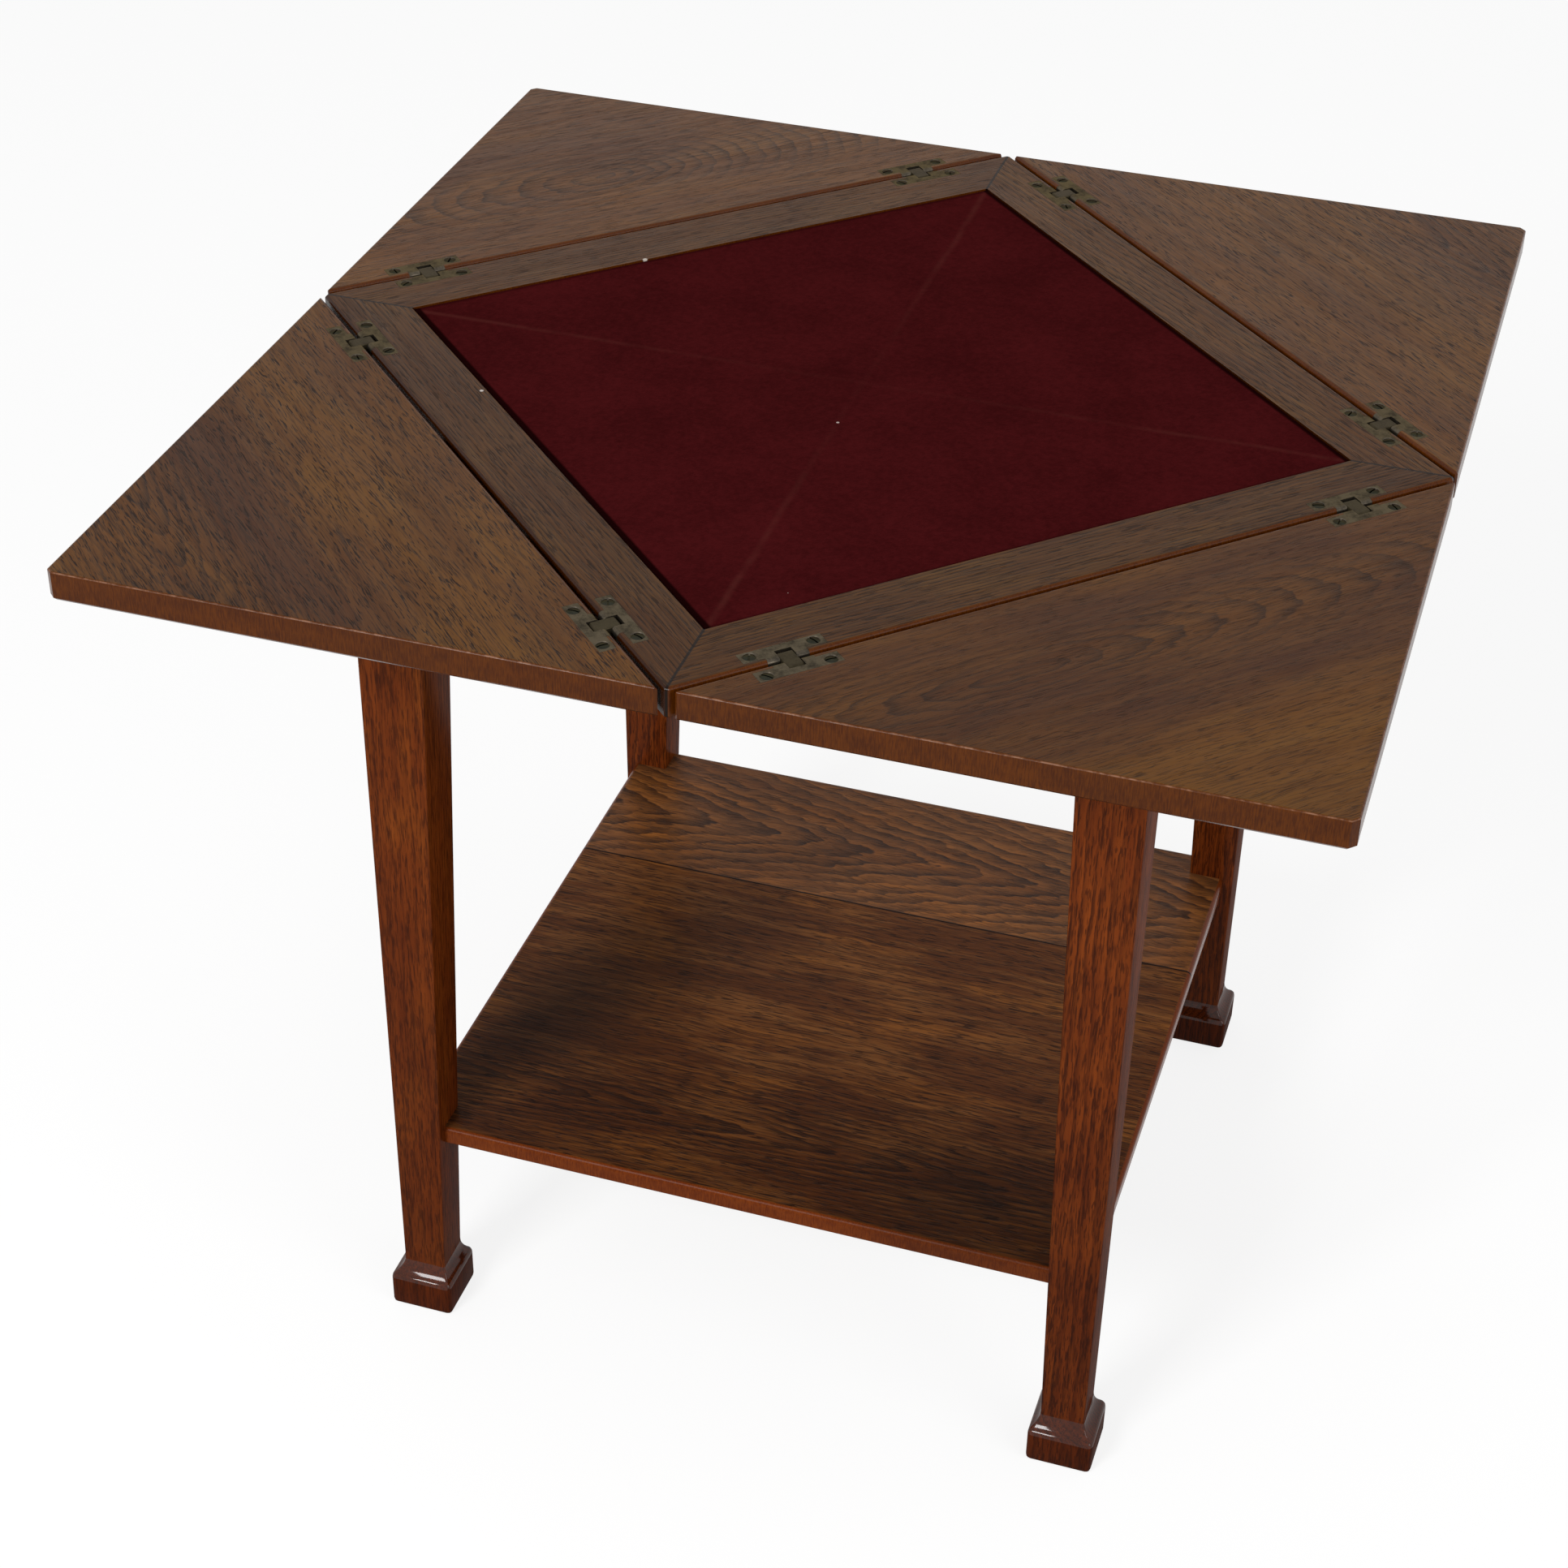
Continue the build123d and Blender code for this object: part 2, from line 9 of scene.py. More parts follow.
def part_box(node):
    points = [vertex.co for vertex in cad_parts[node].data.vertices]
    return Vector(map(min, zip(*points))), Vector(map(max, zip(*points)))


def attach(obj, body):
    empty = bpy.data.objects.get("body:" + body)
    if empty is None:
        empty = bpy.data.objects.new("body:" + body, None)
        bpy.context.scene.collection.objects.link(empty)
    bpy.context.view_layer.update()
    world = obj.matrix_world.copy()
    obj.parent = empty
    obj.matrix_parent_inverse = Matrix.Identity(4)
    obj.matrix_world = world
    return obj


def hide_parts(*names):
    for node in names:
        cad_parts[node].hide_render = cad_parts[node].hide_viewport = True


bl_info = {
    "name": "Folding card table",
    "version": (1, 0, 0),
    "blender": (4, 5, 0),
    "location": "View3D > Sidebar > Card table",
    "description": "Gives the packed card table its timber, baize, brass and stage",
    "category": "Object",
}

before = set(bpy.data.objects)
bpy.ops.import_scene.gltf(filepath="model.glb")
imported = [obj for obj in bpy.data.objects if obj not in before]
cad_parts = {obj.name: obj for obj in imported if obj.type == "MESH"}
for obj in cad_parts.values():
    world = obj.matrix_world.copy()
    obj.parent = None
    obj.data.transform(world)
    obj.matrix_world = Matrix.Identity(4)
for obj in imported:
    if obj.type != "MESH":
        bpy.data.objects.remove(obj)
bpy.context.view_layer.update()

# Turns about the middle, in degrees: the sides' from the +Y side, the legs' from the back right leg
TURNS = {"back_right": -45, "back_left": 45, "front_left": 135, "front_right": 225}
LEG_TURNS = {"back_right": 0, "back_left": 90, "front_left": 180, "front_right": -90}
CORNERS = {"back_right": (1, 1), "back_left": (-1, 1), "front_left": (-1, -1), "front_right": (1, -1)}

TOP_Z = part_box("flap_front_left")[1].z
FIELD_LOW, FIELD_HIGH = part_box("baize")

# Patterns are drawn in millimetres. Points nearer than CLOSE, in metres, count as one.
MM = 1000
CLOSE = 1e-6

# Facets of round pieces, and of the hollow above each foot
ROUND_SIDES = 24
COVE_STEPS = 7

# Specks of lint on the nap: place and radius, in millimetres
LINT = (((0, -63, 742), 1.1), ((36, -291, 742), 0.5))

# Chips in the rims, and dark spots on the shelf that are partly stains in its polish and partly painted
# shadow of the front legs: place, radius and soft share of it, colour and strength
CHIPS = {
    "back_left": (((-216, 136, 743), 1.9, 0.3, (0.62, 0.56, 0.50), 1.0),),
    "front_left": (((-253, -104, 743), 1.4, 0.3, (0.60, 0.54, 0.50), 1.0),),
}
STAIN_AND_SHADOW = (0.010, 0.006, 0.004)
STAINS_AND_SHADOWS = (
    ((-215, -120, 186), 60, 0.9, STAIN_AND_SHADOW, 0.50),
    ((-170, -40, 186), 62, 0.9, STAIN_AND_SHADOW, 0.40),
    ((-110, 40, 186), 60, 0.9, STAIN_AND_SHADOW, 0.22),
    ((170, -235, 186), 70, 0.9, STAIN_AND_SHADOW, 0.40),
)

# Sizes of the patterns in timber along the grain and across it, in millimetres
TREMOR = (22, 9, 9)
PATCH = (60, 20, 20)
CROWD = (40, 14, 14)
FINE_PORE = (26, 1.3, 2.0)
STREAK = (120, 6.0, 8.0)
BROAD_ZONE = (130, 50, 50)
WARM_ZONE = (110, 34, 34)
END_HATCH = (0.9, 0.9, 9.0)
EDGE_RUN = (34, 34, 14)

# Depth of the open pores in metres, roughness of the polished edges, and what a fade multiplies wood by
PORE_DEPTH = 0.00012
EDGE_ROUGHNESS = 0.24
FADE_TINT = (0.45, 0.38, 0.34)

# The painted highlight along the flaps' upper arrises runs from here outwards, in millimetres, but not at the
# hinges
HIGHLIGHT_FROM, HIGHLIGHT_FULLY = 306.0, 312.0

# Lamps of the stage: name, place and side in metres. Both shine at LIT_POINT.
LAMPS = (("key", (-1.3, -3.6, 3.0), 1.2), ("fill", (3.2, -1.6, 2.0), 2.2))
LIT_POINT = (0, 0, 0.5)


def colour(name, description, value):
    """A colour property with no alpha."""
    return bpy.props.FloatVectorProperty(
        name=name, description=description, subtype="COLOR", size=3, min=0, max=1, default=value
    )


def length(name, description, value):
    """A length property in metres."""
    return bpy.props.FloatProperty(
        name=name, description=description, subtype="DISTANCE", unit="LENGTH", min=0, precision=5,
        default=value,
    )


class TimberSettings(bpy.types.PropertyGroup):
    """Colours of the oak, from its pale ground to its open pores."""

    top_ground: colour("Top ground", "Pale wood of the flaps and rims", (0.114, 0.0400, 0.0035))
    top_shade: colour("Top shade", "Darker, redder wood of the flaps and rims", (0.056, 0.0165, 0.0030))
    top_glow: colour("Top glow", "Yellow patches of the flaps and rims", (0.150, 0.064, 0.0060))
    top_figure: colour("Top figure", "Rings and pores of the flaps and rims", (0.0140, 0.0042, 0.0004))
    edge_ground: colour("Edge ground", "Polished edges of the flaps and rims", (0.102, 0.0250, 0.0012))
    edge_shade: colour("Edge shade", "Darker wood in those edges", (0.052, 0.0110, 0.0008))
    # Painted highlight: this pale colour is laid along the flaps' upper arrises in place of the lamp's gleam
    # on them
    arris_highlight: colour("Worn arris", "Flaps' upper arrises, where the polish is gone", (0.32, 0.160, 0.092))
    frame_ground: colour("Frame ground", "Pale wood of the legs and rails", (0.178, 0.0370, 0.0052))
    frame_shade: colour("Frame shade", "Darker wood of the legs and rails", (0.104, 0.0185, 0.0032))
    frame_glow: colour("Frame glow", "Yellow patches of the legs and rails", (0.215, 0.0540, 0.0070))
    frame_figure: colour("Frame figure", "Rings and pores of the legs and rails", (0.0240, 0.0052, 0.0020))
    foot_ground: colour("Foot ground", "Darker polish on the feet", (0.098, 0.0175, 0.0032))
    shelf_ground: colour("Shelf ground", "Pale wood of the shelf", (0.175, 0.0660, 0.0180))
    shelf_shade: colour("Shelf shade", "Darker wood of the shelf", (0.085, 0.0270, 0.0080))
    shelf_glow: colour("Shelf glow", "Orange patches of the shelf", (0.240, 0.0800, 0.0130))
    shelf_figure: colour("Shelf figure", "Rings and pores of the shelf", (0.0120, 0.0055, 0.0038))
    pine_ground: colour("Pine ground", "Pale wood under the top", (0.300, 0.190, 0.100))
    pine_shade: colour("Pine shade", "Darker wood under the top", (0.190, 0.105, 0.050))
    pine_glow: colour("Pine glow", "Yellow patches under the top", (0.340, 0.220, 0.110))
    pine_figure: colour("Pine figure", "Late wood of the pine", (0.110, 0.055, 0.025))
    top_sheen: bpy.props.FloatProperty(
        name="Top polish", description="Reflection of the worn polish on the top", min=0, max=1, default=0.115
    )

    def tones(self, kind):
        """Ground, shade, glow and figure of one kind of timber."""
        return [getattr(self, f"{kind}_{part}") for part in ("ground", "shade", "glow", "figure")]


class LegSettings(bpy.types.PropertyGroup):
    """Sizes of the tapered legs and their block feet."""

    face: length("Leg face", "Distance of a leg's outer faces from the middle", 0.2795)
    side: length("Leg side", "Width of a leg at the rails", 0.0500)
    ankle_side: length("Ankle side", "Width of a leg above its foot", 0.0340)
    foot_side: length("Foot side", "Width of a foot", 0.0510)
    foot_projection: length("Foot projection", "How far a foot stands out of the leg's outer faces", 0.0095)
    foot_height: length("Foot height", "Height of a foot's upright sides", 0.0300)
    cove_height: length("Cove height", "Height of the hollow above the foot", 0.0160)
    rail_bottom: length("Rail bottom", "Height at which the taper starts", 0.6607)
    top: length("Leg top", "Height of the leg's end grain", 0.7207)
    arris: length("Leg arris", "Width of the softened arrises of the leg", 0.0012)
    foot_round: length("Foot round", "Width of the rounding of the foot's arrises", 0.0045)


class BaizeSettings(bpy.types.PropertyGroup):
    """The cloth laid in the field."""

    ground: colour("Baize", "Colour of the nap", (0.0500, 0.0047, 0.0056))
    worn: colour("Worn baize", "Colour where the nap is rubbed along the creases", (0.120, 0.0300, 0.0240))
    lint: colour("Lint", "Pale specks on the nap", (0.500, 0.420, 0.380))
    crease_width: length("Crease width", "Half width of the creases under the closed flaps", 0.0042)
    crease_depth: length("Crease depth", "How far the creases stand out of the cloth", 0.0002)


class HingeSettings(bpy.types.PropertyGroup):
    """Sizes and colours of the hinges, pins and screws."""

    bright: colour("Bright brass", "Brass where hands have rubbed it", (0.098, 0.081, 0.060))
    dull: colour("Dull brass", "Brass under its brown bloom", (0.034, 0.030, 0.025))
    link: colour("Link", "Browned metal of the links", (0.046, 0.037, 0.022))
    screw: colour("Screw", "Dark metal of the screws", (0.018, 0.019, 0.015))
    steel: colour("Steel", "Pins and pivot bolt", (0.160, 0.150, 0.140))
    leaf_length: length("Leaf length", "Length of a leaf along the gap", 0.0590)
    leaf_width: length("Leaf width", "Width of a leaf's plate", 0.0114)
    leaf_setback: length("Leaf setback", "Distance of the plate from the gap", 0.0043)
    leaf_thickness: length("Leaf thickness", "Thickness of a leaf's plate", 0.0025)
    knuckle_width: length("Knuckle width", "Width of the slotted knuckle", 0.0290)
    knuckle_reach: length("Knuckle reach", "How far the knuckle runs back from the gap", 0.0109)
    knuckle_depth: length("Knuckle depth", "Depth of the knuckle", 0.0120)
    knuckle_round: length("Knuckle round", "Rounding of the knuckle at the gap", 0.0030)
    pocket_width: length("Pocket width", "Width of the slot that the link turns in", 0.0117)
    pocket_radius: length("Pocket radius", "Radius of the slot about the pin", 0.0059)
    pin_inset: length("Pin inset", "Distance of the pin from the gap", 0.0035)
    pin_depth: length("Pin depth", "Depth of the pin under the face", 0.00475)
    edge_round: length("Edge round", "Rounding of the brass's edges", 0.00035)
    head_radius: length("Screw head radius", "Radius of the slotted heads", 0.0044)
    sink_radius: length("Countersink radius", "Radius of the countersunk holes", 0.0048)
    shank_radius: length("Screw shank radius", "Radius of the shanks", 0.0020)
    screw_length: length("Screw length", "Length of the shank", 0.0130)
    head_depth: length("Screw head depth", "Depth of the countersunk part of the heads", 0.0024)
    head_rise: length("Screw head rise", "How far the crown of a head stands above its rim", 0.0006)
    slot_width: length("Slot width", "Width of the driver's slot", 0.0012)
    slot_depth: length("Slot depth", "Depth of the driver's slot", 0.0014)
    spacing: length("Screw spacing", "Distance between the two screws of a leaf", 0.0450)
    setback: length("Screw setback", "Distance of the screws from the edge at the gap", 0.0106)
    rim_edge: length("Rim edge", "Distance of the rim's outer edge from the middle", 0.3000)
    flap_edge: length("Flap edge", "Distance of the flap's long edge from the middle", 0.3030)
    hinge_place: length("Hinge place", "Distance of a hinge from the middle of its side", 0.2150)


class StageSettings(bpy.types.PropertyGroup):
    """Camera, lamps and floor."""

    lens: bpy.props.FloatProperty(
        name="Lens", description="Focal length on a sensor 36 mm wide", unit="CAMERA", default=69.08
    )
    azimuth: bpy.props.FloatProperty(
        name="Azimuth", description="Direction that the camera looks in", subtype="ANGLE",
        default=radians(17.18),
    )
    elevation: bpy.props.FloatProperty(
        name="Elevation", description="How far the camera looks down", subtype="ANGLE",
        default=radians(35.36),
    )
    roll: bpy.props.FloatProperty(
        name="Roll", description="Turn of the camera about its own axis", subtype="ANGLE",
        default=radians(1.02),
    )
    distance: length("Distance", "Distance of the camera from its target", 1.7551)
    target: bpy.props.FloatVectorProperty(
        name="Target", description="Point that the camera looks at", subtype="XYZ", unit="LENGTH",
        default=(0.0989, -0.4956, 0.7431),
    )
    key_power: bpy.props.FloatProperty(
        name="Key power", description="Power of the soft lamp at the front left", unit="POWER",
        default=115.0,
    )
    fill_power: bpy.props.FloatProperty(
        name="Fill power", description="Power of the lamp at the right", unit="POWER", default=34.0
    )
    sky_strength: bpy.props.FloatProperty(
        name="Sky strength", description="Strength of the even light from all round", default=0.48
    )


def dimmed(tone, share):
    """One colour, darker or lighter by a share."""
    return [share * part for part in tone]


def shaded(tones, share):
    """The same tones, darker or lighter by one share."""
    return [dimmed(tone, share) for tone in tones]


class Graph:
    """One material's node tree. Each call adds nodes and gives back the socket that they end in."""

    def __init__(self, name, world=False):
        self.owner = bpy.data.worlds.new(name) if world else bpy.data.materials.new(name)
        self.owner.use_nodes = True
        self.tree = self.owner.node_tree
        self.tree.nodes.clear()
        self.steps = 0

    def add(self, kind, sockets=None, **settings):
        """Adds a node in the next place of a grid twelve wide, and feeds its sockets."""
        node = self.tree.nodes.new(kind)
        node.location = (180 * (self.steps % 12), -220 * (self.steps // 12))
        self.steps += 1
        for key, value in settings.items():
            setattr(node, key, value)
        for key, value in (sockets or {}).items():
            self.feed(node.inputs[key], value)
        return node

    def feed(self, socket, value):
        """Links a socket to another, or sets its value."""
        if isinstance(value, bpy.types.NodeSocket):
            self.tree.links.new(value, socket)
        elif hasattr(value, "__len__") and socket.type == "RGBA" and len(value) == 3:
            socket.default_value = (*value, 1)
        else:
            socket.default_value = value

    def math(self, operation, a, b=0.0, c=0.0):
        return self.add("ShaderNodeMath", {0: a, 1: b, 2: c}, operation=operation).outputs[0]

    def times(self, a, b):
        return self.math("MULTIPLY", a, b)

    def times_plus(self, a, b, c):
        return self.math("MULTIPLY_ADD", a, b, c)

    def span(self, value, low, high, out_low=0.0, out_high=1.0, smooth=True):
        """Maps value from low and high to out_low and out_high, and holds it there."""
        kind = "SMOOTHSTEP" if smooth else "LINEAR"
        sockets = {0: value, 1: low, 2: high, 3: out_low, 4: out_high}
        return self.add("ShaderNodeMapRange", sockets, interpolation_type=kind).outputs[0]

    def mix(self, factor, a, b, blend="MIX"):
        """Goes from colour a, where factor is 0, to colour b, where it is 1."""
        sockets = {0: factor, 6: a, 7: b}
        return self.add("ShaderNodeMix", sockets, data_type="RGBA", blend_type=blend).outputs[2]

    def mix_value(self, factor, a, b):
        """Goes from number a, where factor is 0, to number b, where it is 1."""
        return self.add("ShaderNodeMix", {0: factor, 2: a, 3: b}, data_type="FLOAT").outputs[0]

    def place(self, origin=(0, 0, 0), turn=(0, 0, 0)):
        """Object coordinates in millimetres about origin, with X along the grain."""
        coordinates = self.add("ShaderNodeTexCoord").outputs["Object"]
        unit = (1 / MM, 1 / MM, 1 / MM)
        sockets = {0: coordinates, 1: origin, 2: [radians(t) for t in turn], 3: unit}
        return self.add("ShaderNodeMapping", sockets, vector_type="TEXTURE").outputs[0]

    def noise(self, vector, size, shift=(0, 0, 0), detail=2.0, roughness=0.5):
        """Soft noise whose lumps have that size in millimetres, between about 0 and 1."""
        scale = [1 / s for s in size]
        sized = self.add("ShaderNodeMapping", {0: vector, 1: shift, 3: scale}, vector_type="POINT").outputs[0]
        sockets = {"Vector": sized, "Scale": 1.0, "Detail": detail, "Roughness": roughness}
        return self.add("ShaderNodeTexNoise", sockets).outputs[0]

    def split(self, vector):
        return self.add("ShaderNodeSeparateXYZ", {0: vector}).outputs

    def join(self, x, y, z):
        return self.add("ShaderNodeCombineXYZ", {0: x, 1: y, 2: z}).outputs[0]

    def hump(self, value, middle, reach):
        """A smooth hump, 1 at the middle and about a third at reach from it."""
        share = self.math("DIVIDE", self.math("SUBTRACT", value, middle), reach)
        return self.math("EXPONENT", self.times(self.times(share, share), -1.0))

    def spot(self, place, radius, soft=0.3):
        """1 near a point in millimetres, half at radius from it, and 0 further out, over that soft share."""
        sockets = {0: self.place(), 1: place}
        away = self.add("ShaderNodeVectorMath", sockets, operation="DISTANCE").outputs["Value"]
        return self.span(away, (1 - soft) * radius, (1 + soft) * radius, 1.0, 0.0)

    def bump(self, height, distance, strength=1.0):
        sockets = {"Height": height, "Distance": distance, "Strength": strength}
        return self.add("ShaderNodeBump", sockets).outputs[0]

    def finish(self, **sockets):
        """Ends the material in one Principled shader with those sockets."""
        shader = self.add("ShaderNodeBsdfPrincipled")
        for key, value in sockets.items():
            self.feed(shader.inputs[key.replace("_", " ")], value)
        self.add("ShaderNodeOutputMaterial", {0: shader.outputs[0]})
        return self.owner


def growth_rings(g, grain, bend, tremor, heart, stretch, taper, warp, shake, spacing, power):
    """Lines about the heart, each rising slowly to 1 and ending at once."""
    u, v, w = g.split(grain)
    along = g.math("DIVIDE", g.math("SUBTRACT", u, heart[0]), stretch)
    growth = g.times(along, along)
    for axis, middle in ((v, heart[1]), (w, heart[2])):
        away = g.math("SUBTRACT", axis, middle)
        growth = g.times_plus(away, away, growth)
    growth = g.times_plus(u, taper, g.math("SQRT", growth))
    growth = g.times_plus(bend, warp, growth)
    growth = g.times_plus(tremor, shake, growth)
    cycle = g.math("FRACT", g.math("DIVIDE", growth, spacing))
    return g.times(g.math("POWER", cycle, power), g.span(cycle, 0.90, 1.0, 1.0, 0.0))


def polished_edge(g, v, shift, ground, shade, worn):
    """The redder polish of a board's edges, with a pale painted highlight along the flap's upper arris where
    that colour is given.

    Gives 1 on the board's faces and 0 on its edges, the colour of the edges and their height.
    """
    up = g.split(g.add("ShaderNodeTexCoord").outputs["Normal"])[2]
    flat = g.span(g.math("ABSOLUTE", up), 0.90, 0.985)
    hatch = g.noise(g.place(), END_HATCH, shift, 2.0, 0.7)
    run = g.noise(g.place(), EDGE_RUN, shift, 3.0, 0.6)
    mottle = g.times_plus(run, 0.5, g.times(hatch, 1.1))
    polish = g.mix(g.span(mottle, 0.55, 1.05), ground, shade)
    # Painted highlight: a pale, broken line on the flap's upper arris, standing in for the lamp's gleam there
    if worn:
        arris_highlight_mask = g.times(g.hump(up, 0.70, 0.18), g.span(v, HIGHLIGHT_FROM, HIGHLIGHT_FULLY))
        broken = g.noise(g.place(), (7, 7, 7), shift, 3.0, 0.7)
        arris_highlight_mask = g.times(arris_highlight_mask, g.span(broken, 0.40, 0.66, 0.10, 0.75))
        polish = g.mix(arris_highlight_mask, polish, worn)
    return flat, polish, g.times(hatch, -0.6)


def timber(
    name, tones, origin, turn, seed,
    heart=(-300, -300, -40), stretch=40.0, taper=0.0, spacing=6.0, ring_power=3.0, focus=900.0,
    background=0.2, warp=8.0, warp_size=(120, 30), shake=3.0,
    rings=0.5, dashes=0.8, dash_size=(12, 0.9), streaks=0.3, hair=0.4, zones=0.4, glow=0.5,
    belts=(), fade=None, edge=None, worn=None, seams=(), marks=(),
    roughness=0.42, gloss=0.115, coat=0.0, coat_roughness=0.25,
):
    """A sawn and polished board. Its X runs along the grain from origin, and its sizes are millimetres.

    The growth rings lie spacing apart about heart, drawn out along the grain by stretch and narrowed by
    taper. Slow waves of warp and short ones of shake bend them. They show fully near the heart's line, within
    focus of it, and in the share background elsewhere.
    rings, dashes, streaks, hair, zones and glow are the strengths of the rings, the open pores, the long
    streaks, the fine pores, the dark zones and the bright ones.
    belts are bands along the grain: middle, reach, and what each adds to dark and to bright.
    fade darkens the low end of an axis: axis, the two places that it runs between, and strength.
    edge holds the colours of the board's edges, and the paler tone after it is a painted highlight along the
    flap's upper arris; seams are dark joints, each an axis and its place, and marks are spots of another
    colour.
    """
    ground, shade, bright, figure = tones
    g = Graph(name)
    grain = g.place(origin, turn)
    u, v, w = g.split(grain)
    along, across = warp_size
    bend = g.noise(grain, (along, across, across), (seed, 2.3 * seed, 0.7 * seed), 1.0, 0.4)
    tremor = g.noise(grain, TREMOR, (1.7 * seed, seed, 3.1), 2.0, 0.6)
    ring = growth_rings(g, grain, bend, tremor, heart, stretch, taper, warp, shake, spacing, ring_power)
    patch = g.noise(grain, PATCH, (3.3 * seed, seed, 1.1), 2.0, 0.5)
    near = g.times_plus(g.hump(v, heart[1], focus), 1 - background, background)
    ring_share = g.times(g.times(ring, near), g.span(patch, 0.30, 0.60, 0.55, 1.0))

    shift = (seed, 1.9 * seed, 0.6 * seed)
    swing = g.times_plus(bend, 0.8 * warp, g.times(tremor, 0.5 * shake))
    flow = g.join(u, g.math("ADD", v, swing), w)
    along, across = dash_size
    pores = g.noise(flow, (along, across, 1.3 * across), shift, 1.0, 0.5)
    crowd = g.noise(grain, CROWD, (0.4 * seed, 2.1 * seed, seed), 2.0, 0.6)
    level = g.times_plus(g.span(crowd, 0.3, 0.7), 0.08, g.times(ring_share, 0.09))
    low = g.math("SUBTRACT", 0.625, level)
    dash = g.span(pores, low, g.math("ADD", low, 0.07))
    fine = g.noise(flow, FINE_PORE, (2.2 * seed, seed, 0.3), 2.0, 0.7)
    streak = g.noise(flow, STREAK, shift, 3.0, 0.7)
    dark_zone = g.noise(grain, BROAD_ZONE, shift, 2.0, 0.55)
    warm_zone = g.noise(grain, WARM_ZONE, (seed, 0.5 * seed, 5.0), 2.0, 0.5)

    tone = g.times(g.span(dark_zone, 0.36, 0.64), zones)
    tone = g.times_plus(g.span(streak, 0.36, 0.64), streaks, tone)
    warmth = g.times(g.span(warm_zone, 0.46, 0.66), glow)
    for middle, reach, dark_share, glow_share in belts:
        belt = g.hump(v, middle, reach)
        tone = g.times_plus(belt, dark_share, tone)
        warmth = g.times_plus(belt, glow_share, warmth)
    wood = g.mix(g.span(warmth, 0.0, 1.0, smooth=False), ground, bright)
    wood = g.mix(g.span(tone, 0.0, 1.0, smooth=False), wood, shade)
    wood = g.mix(g.times(ring_share, rings), wood, figure)
    wood = g.mix(g.times(g.span(fine, 0.48, 0.64), hair), wood, figure)
    wood = g.mix(g.times(dash, dashes), wood, figure)
    rough = g.span(streak, 0.3, 0.7, roughness - 0.05, roughness + 0.06)
    rough = g.math("ADD", rough, g.times(dash, 0.10))
    height = g.math("SUBTRACT", g.times(fine, 0.30), dash)
    height = g.times_plus(ring_share, -0.25, height)
    if fade:
        axis, low_place, high_place, share = fade
        dim = g.span((u, v)[axis], low_place, high_place, share, 0.0)
        wood = g.mix(dim, wood, FADE_TINT, "MULTIPLY")
    if edge:
        flat, polish, hatching = polished_edge(g, v, shift, *edge, worn)
        wood = g.mix(flat, polish, wood)
        rough = g.mix_value(flat, EDGE_ROUGHNESS, rough)
        height = g.mix_value(flat, hatching, height)
    for axis, position in seams:
        gap = g.math("ABSOLUTE", g.math("SUBTRACT", g.split(g.place())[axis], position))
        wood = g.mix(g.span(gap, 0.5, 1.4, 0.95, 0.0), wood, dimmed(figure, 0.4))
    for place, radius, soft, tint, share in marks:
        wood = g.mix(g.times(g.spot(place, radius, soft), share), wood, tint)
    return g.finish(
        Base_Color=wood,
        Roughness=rough,
        Specular_IOR_Level=gloss,
        Coat_Weight=coat,
        Coat_Roughness=coat_roughness,
        Normal=g.bump(height, PORE_DEPTH),
    )


def baize_material(c):
    """Short dense nap, mottled, with rubbed lines where the closed flaps meet over it."""
    g = Graph("baize")
    place = g.place()
    x, y, z = g.split(place)
    blot = g.noise(place, (60, 60, 60), (4.2, 1.3, 0), 3.0, 0.6)
    tuft = g.noise(place, (5, 5, 5), (0, 3.1, 0), 3.0, 0.7)
    fibre = g.noise(g.place((0, 0, 0), (0, 0, 40)), (2.6, 0.5, 1), (0, 0, 0), 2.0, 0.6)
    tone = g.times_plus(tuft, 0.5, g.times_plus(fibre, 0.5, g.times(blot, 0.45)))
    nap = g.mix(g.span(tone, 0.50, 0.96), dimmed(c.ground, 0.72), dimmed(c.ground, 1.30))
    wander = g.times(g.math("SUBTRACT", g.noise(place, (90, 90, 90), (9, 3, 0)), 0.5), 6.0)
    for across, along in ((x, y), (y, x)):
        off = g.math("ABSOLUTE", g.math("ADD", across, wander))
        line = g.span(off, 0.0, MM * c.crease_width, 1.0, 0.0)
        towards_corner = g.span(g.math("ABSOLUTE", along), 40.0, 330.0, 0.05, 0.28)
        broken = g.span(g.noise(place, (24, 24, 24), (1.1, 7.7, 0)), 0.3, 0.6, 0.3, 1.0)
        nap = g.mix(g.times(g.times(line, towards_corner), broken), nap, c.worn)
    # Shade under the rim: the way to each border, its reach and its strength
    borders = ((-1, -1, 6.5, 0.95), (1, 1, 3.0, 0.92), (1, -1, 2.5, 0.40), (-1, 1, 2.5, 0.40))
    halfway = MM * (FIELD_HIGH.x - FIELD_LOW.x) / 2
    for toward_x, toward_y, reach, share in borders:
        outward = g.times_plus(x, toward_x, g.times(y, toward_y))
        border = g.math("SUBTRACT", halfway, outward)
        nap = g.mix(g.span(border, reach, reach + 3.5, share, 0.0), nap, dimmed(c.ground, 0.05))
    for spot, radius in LINT:
        nap = g.mix(g.spot(spot, radius), nap, c.lint)
    return g.finish(
        Base_Color=nap,
        Roughness=0.95,
        Specular_IOR_Level=0.0,
        Sheen_Weight=0.03,
        Sheen_Roughness=0.5,
        Sheen_Tint=(0.60, 0.10, 0.10, 1),
        Normal=g.bump(g.times_plus(tuft, 0.8, fibre), 0.0005, 0.8),
    )


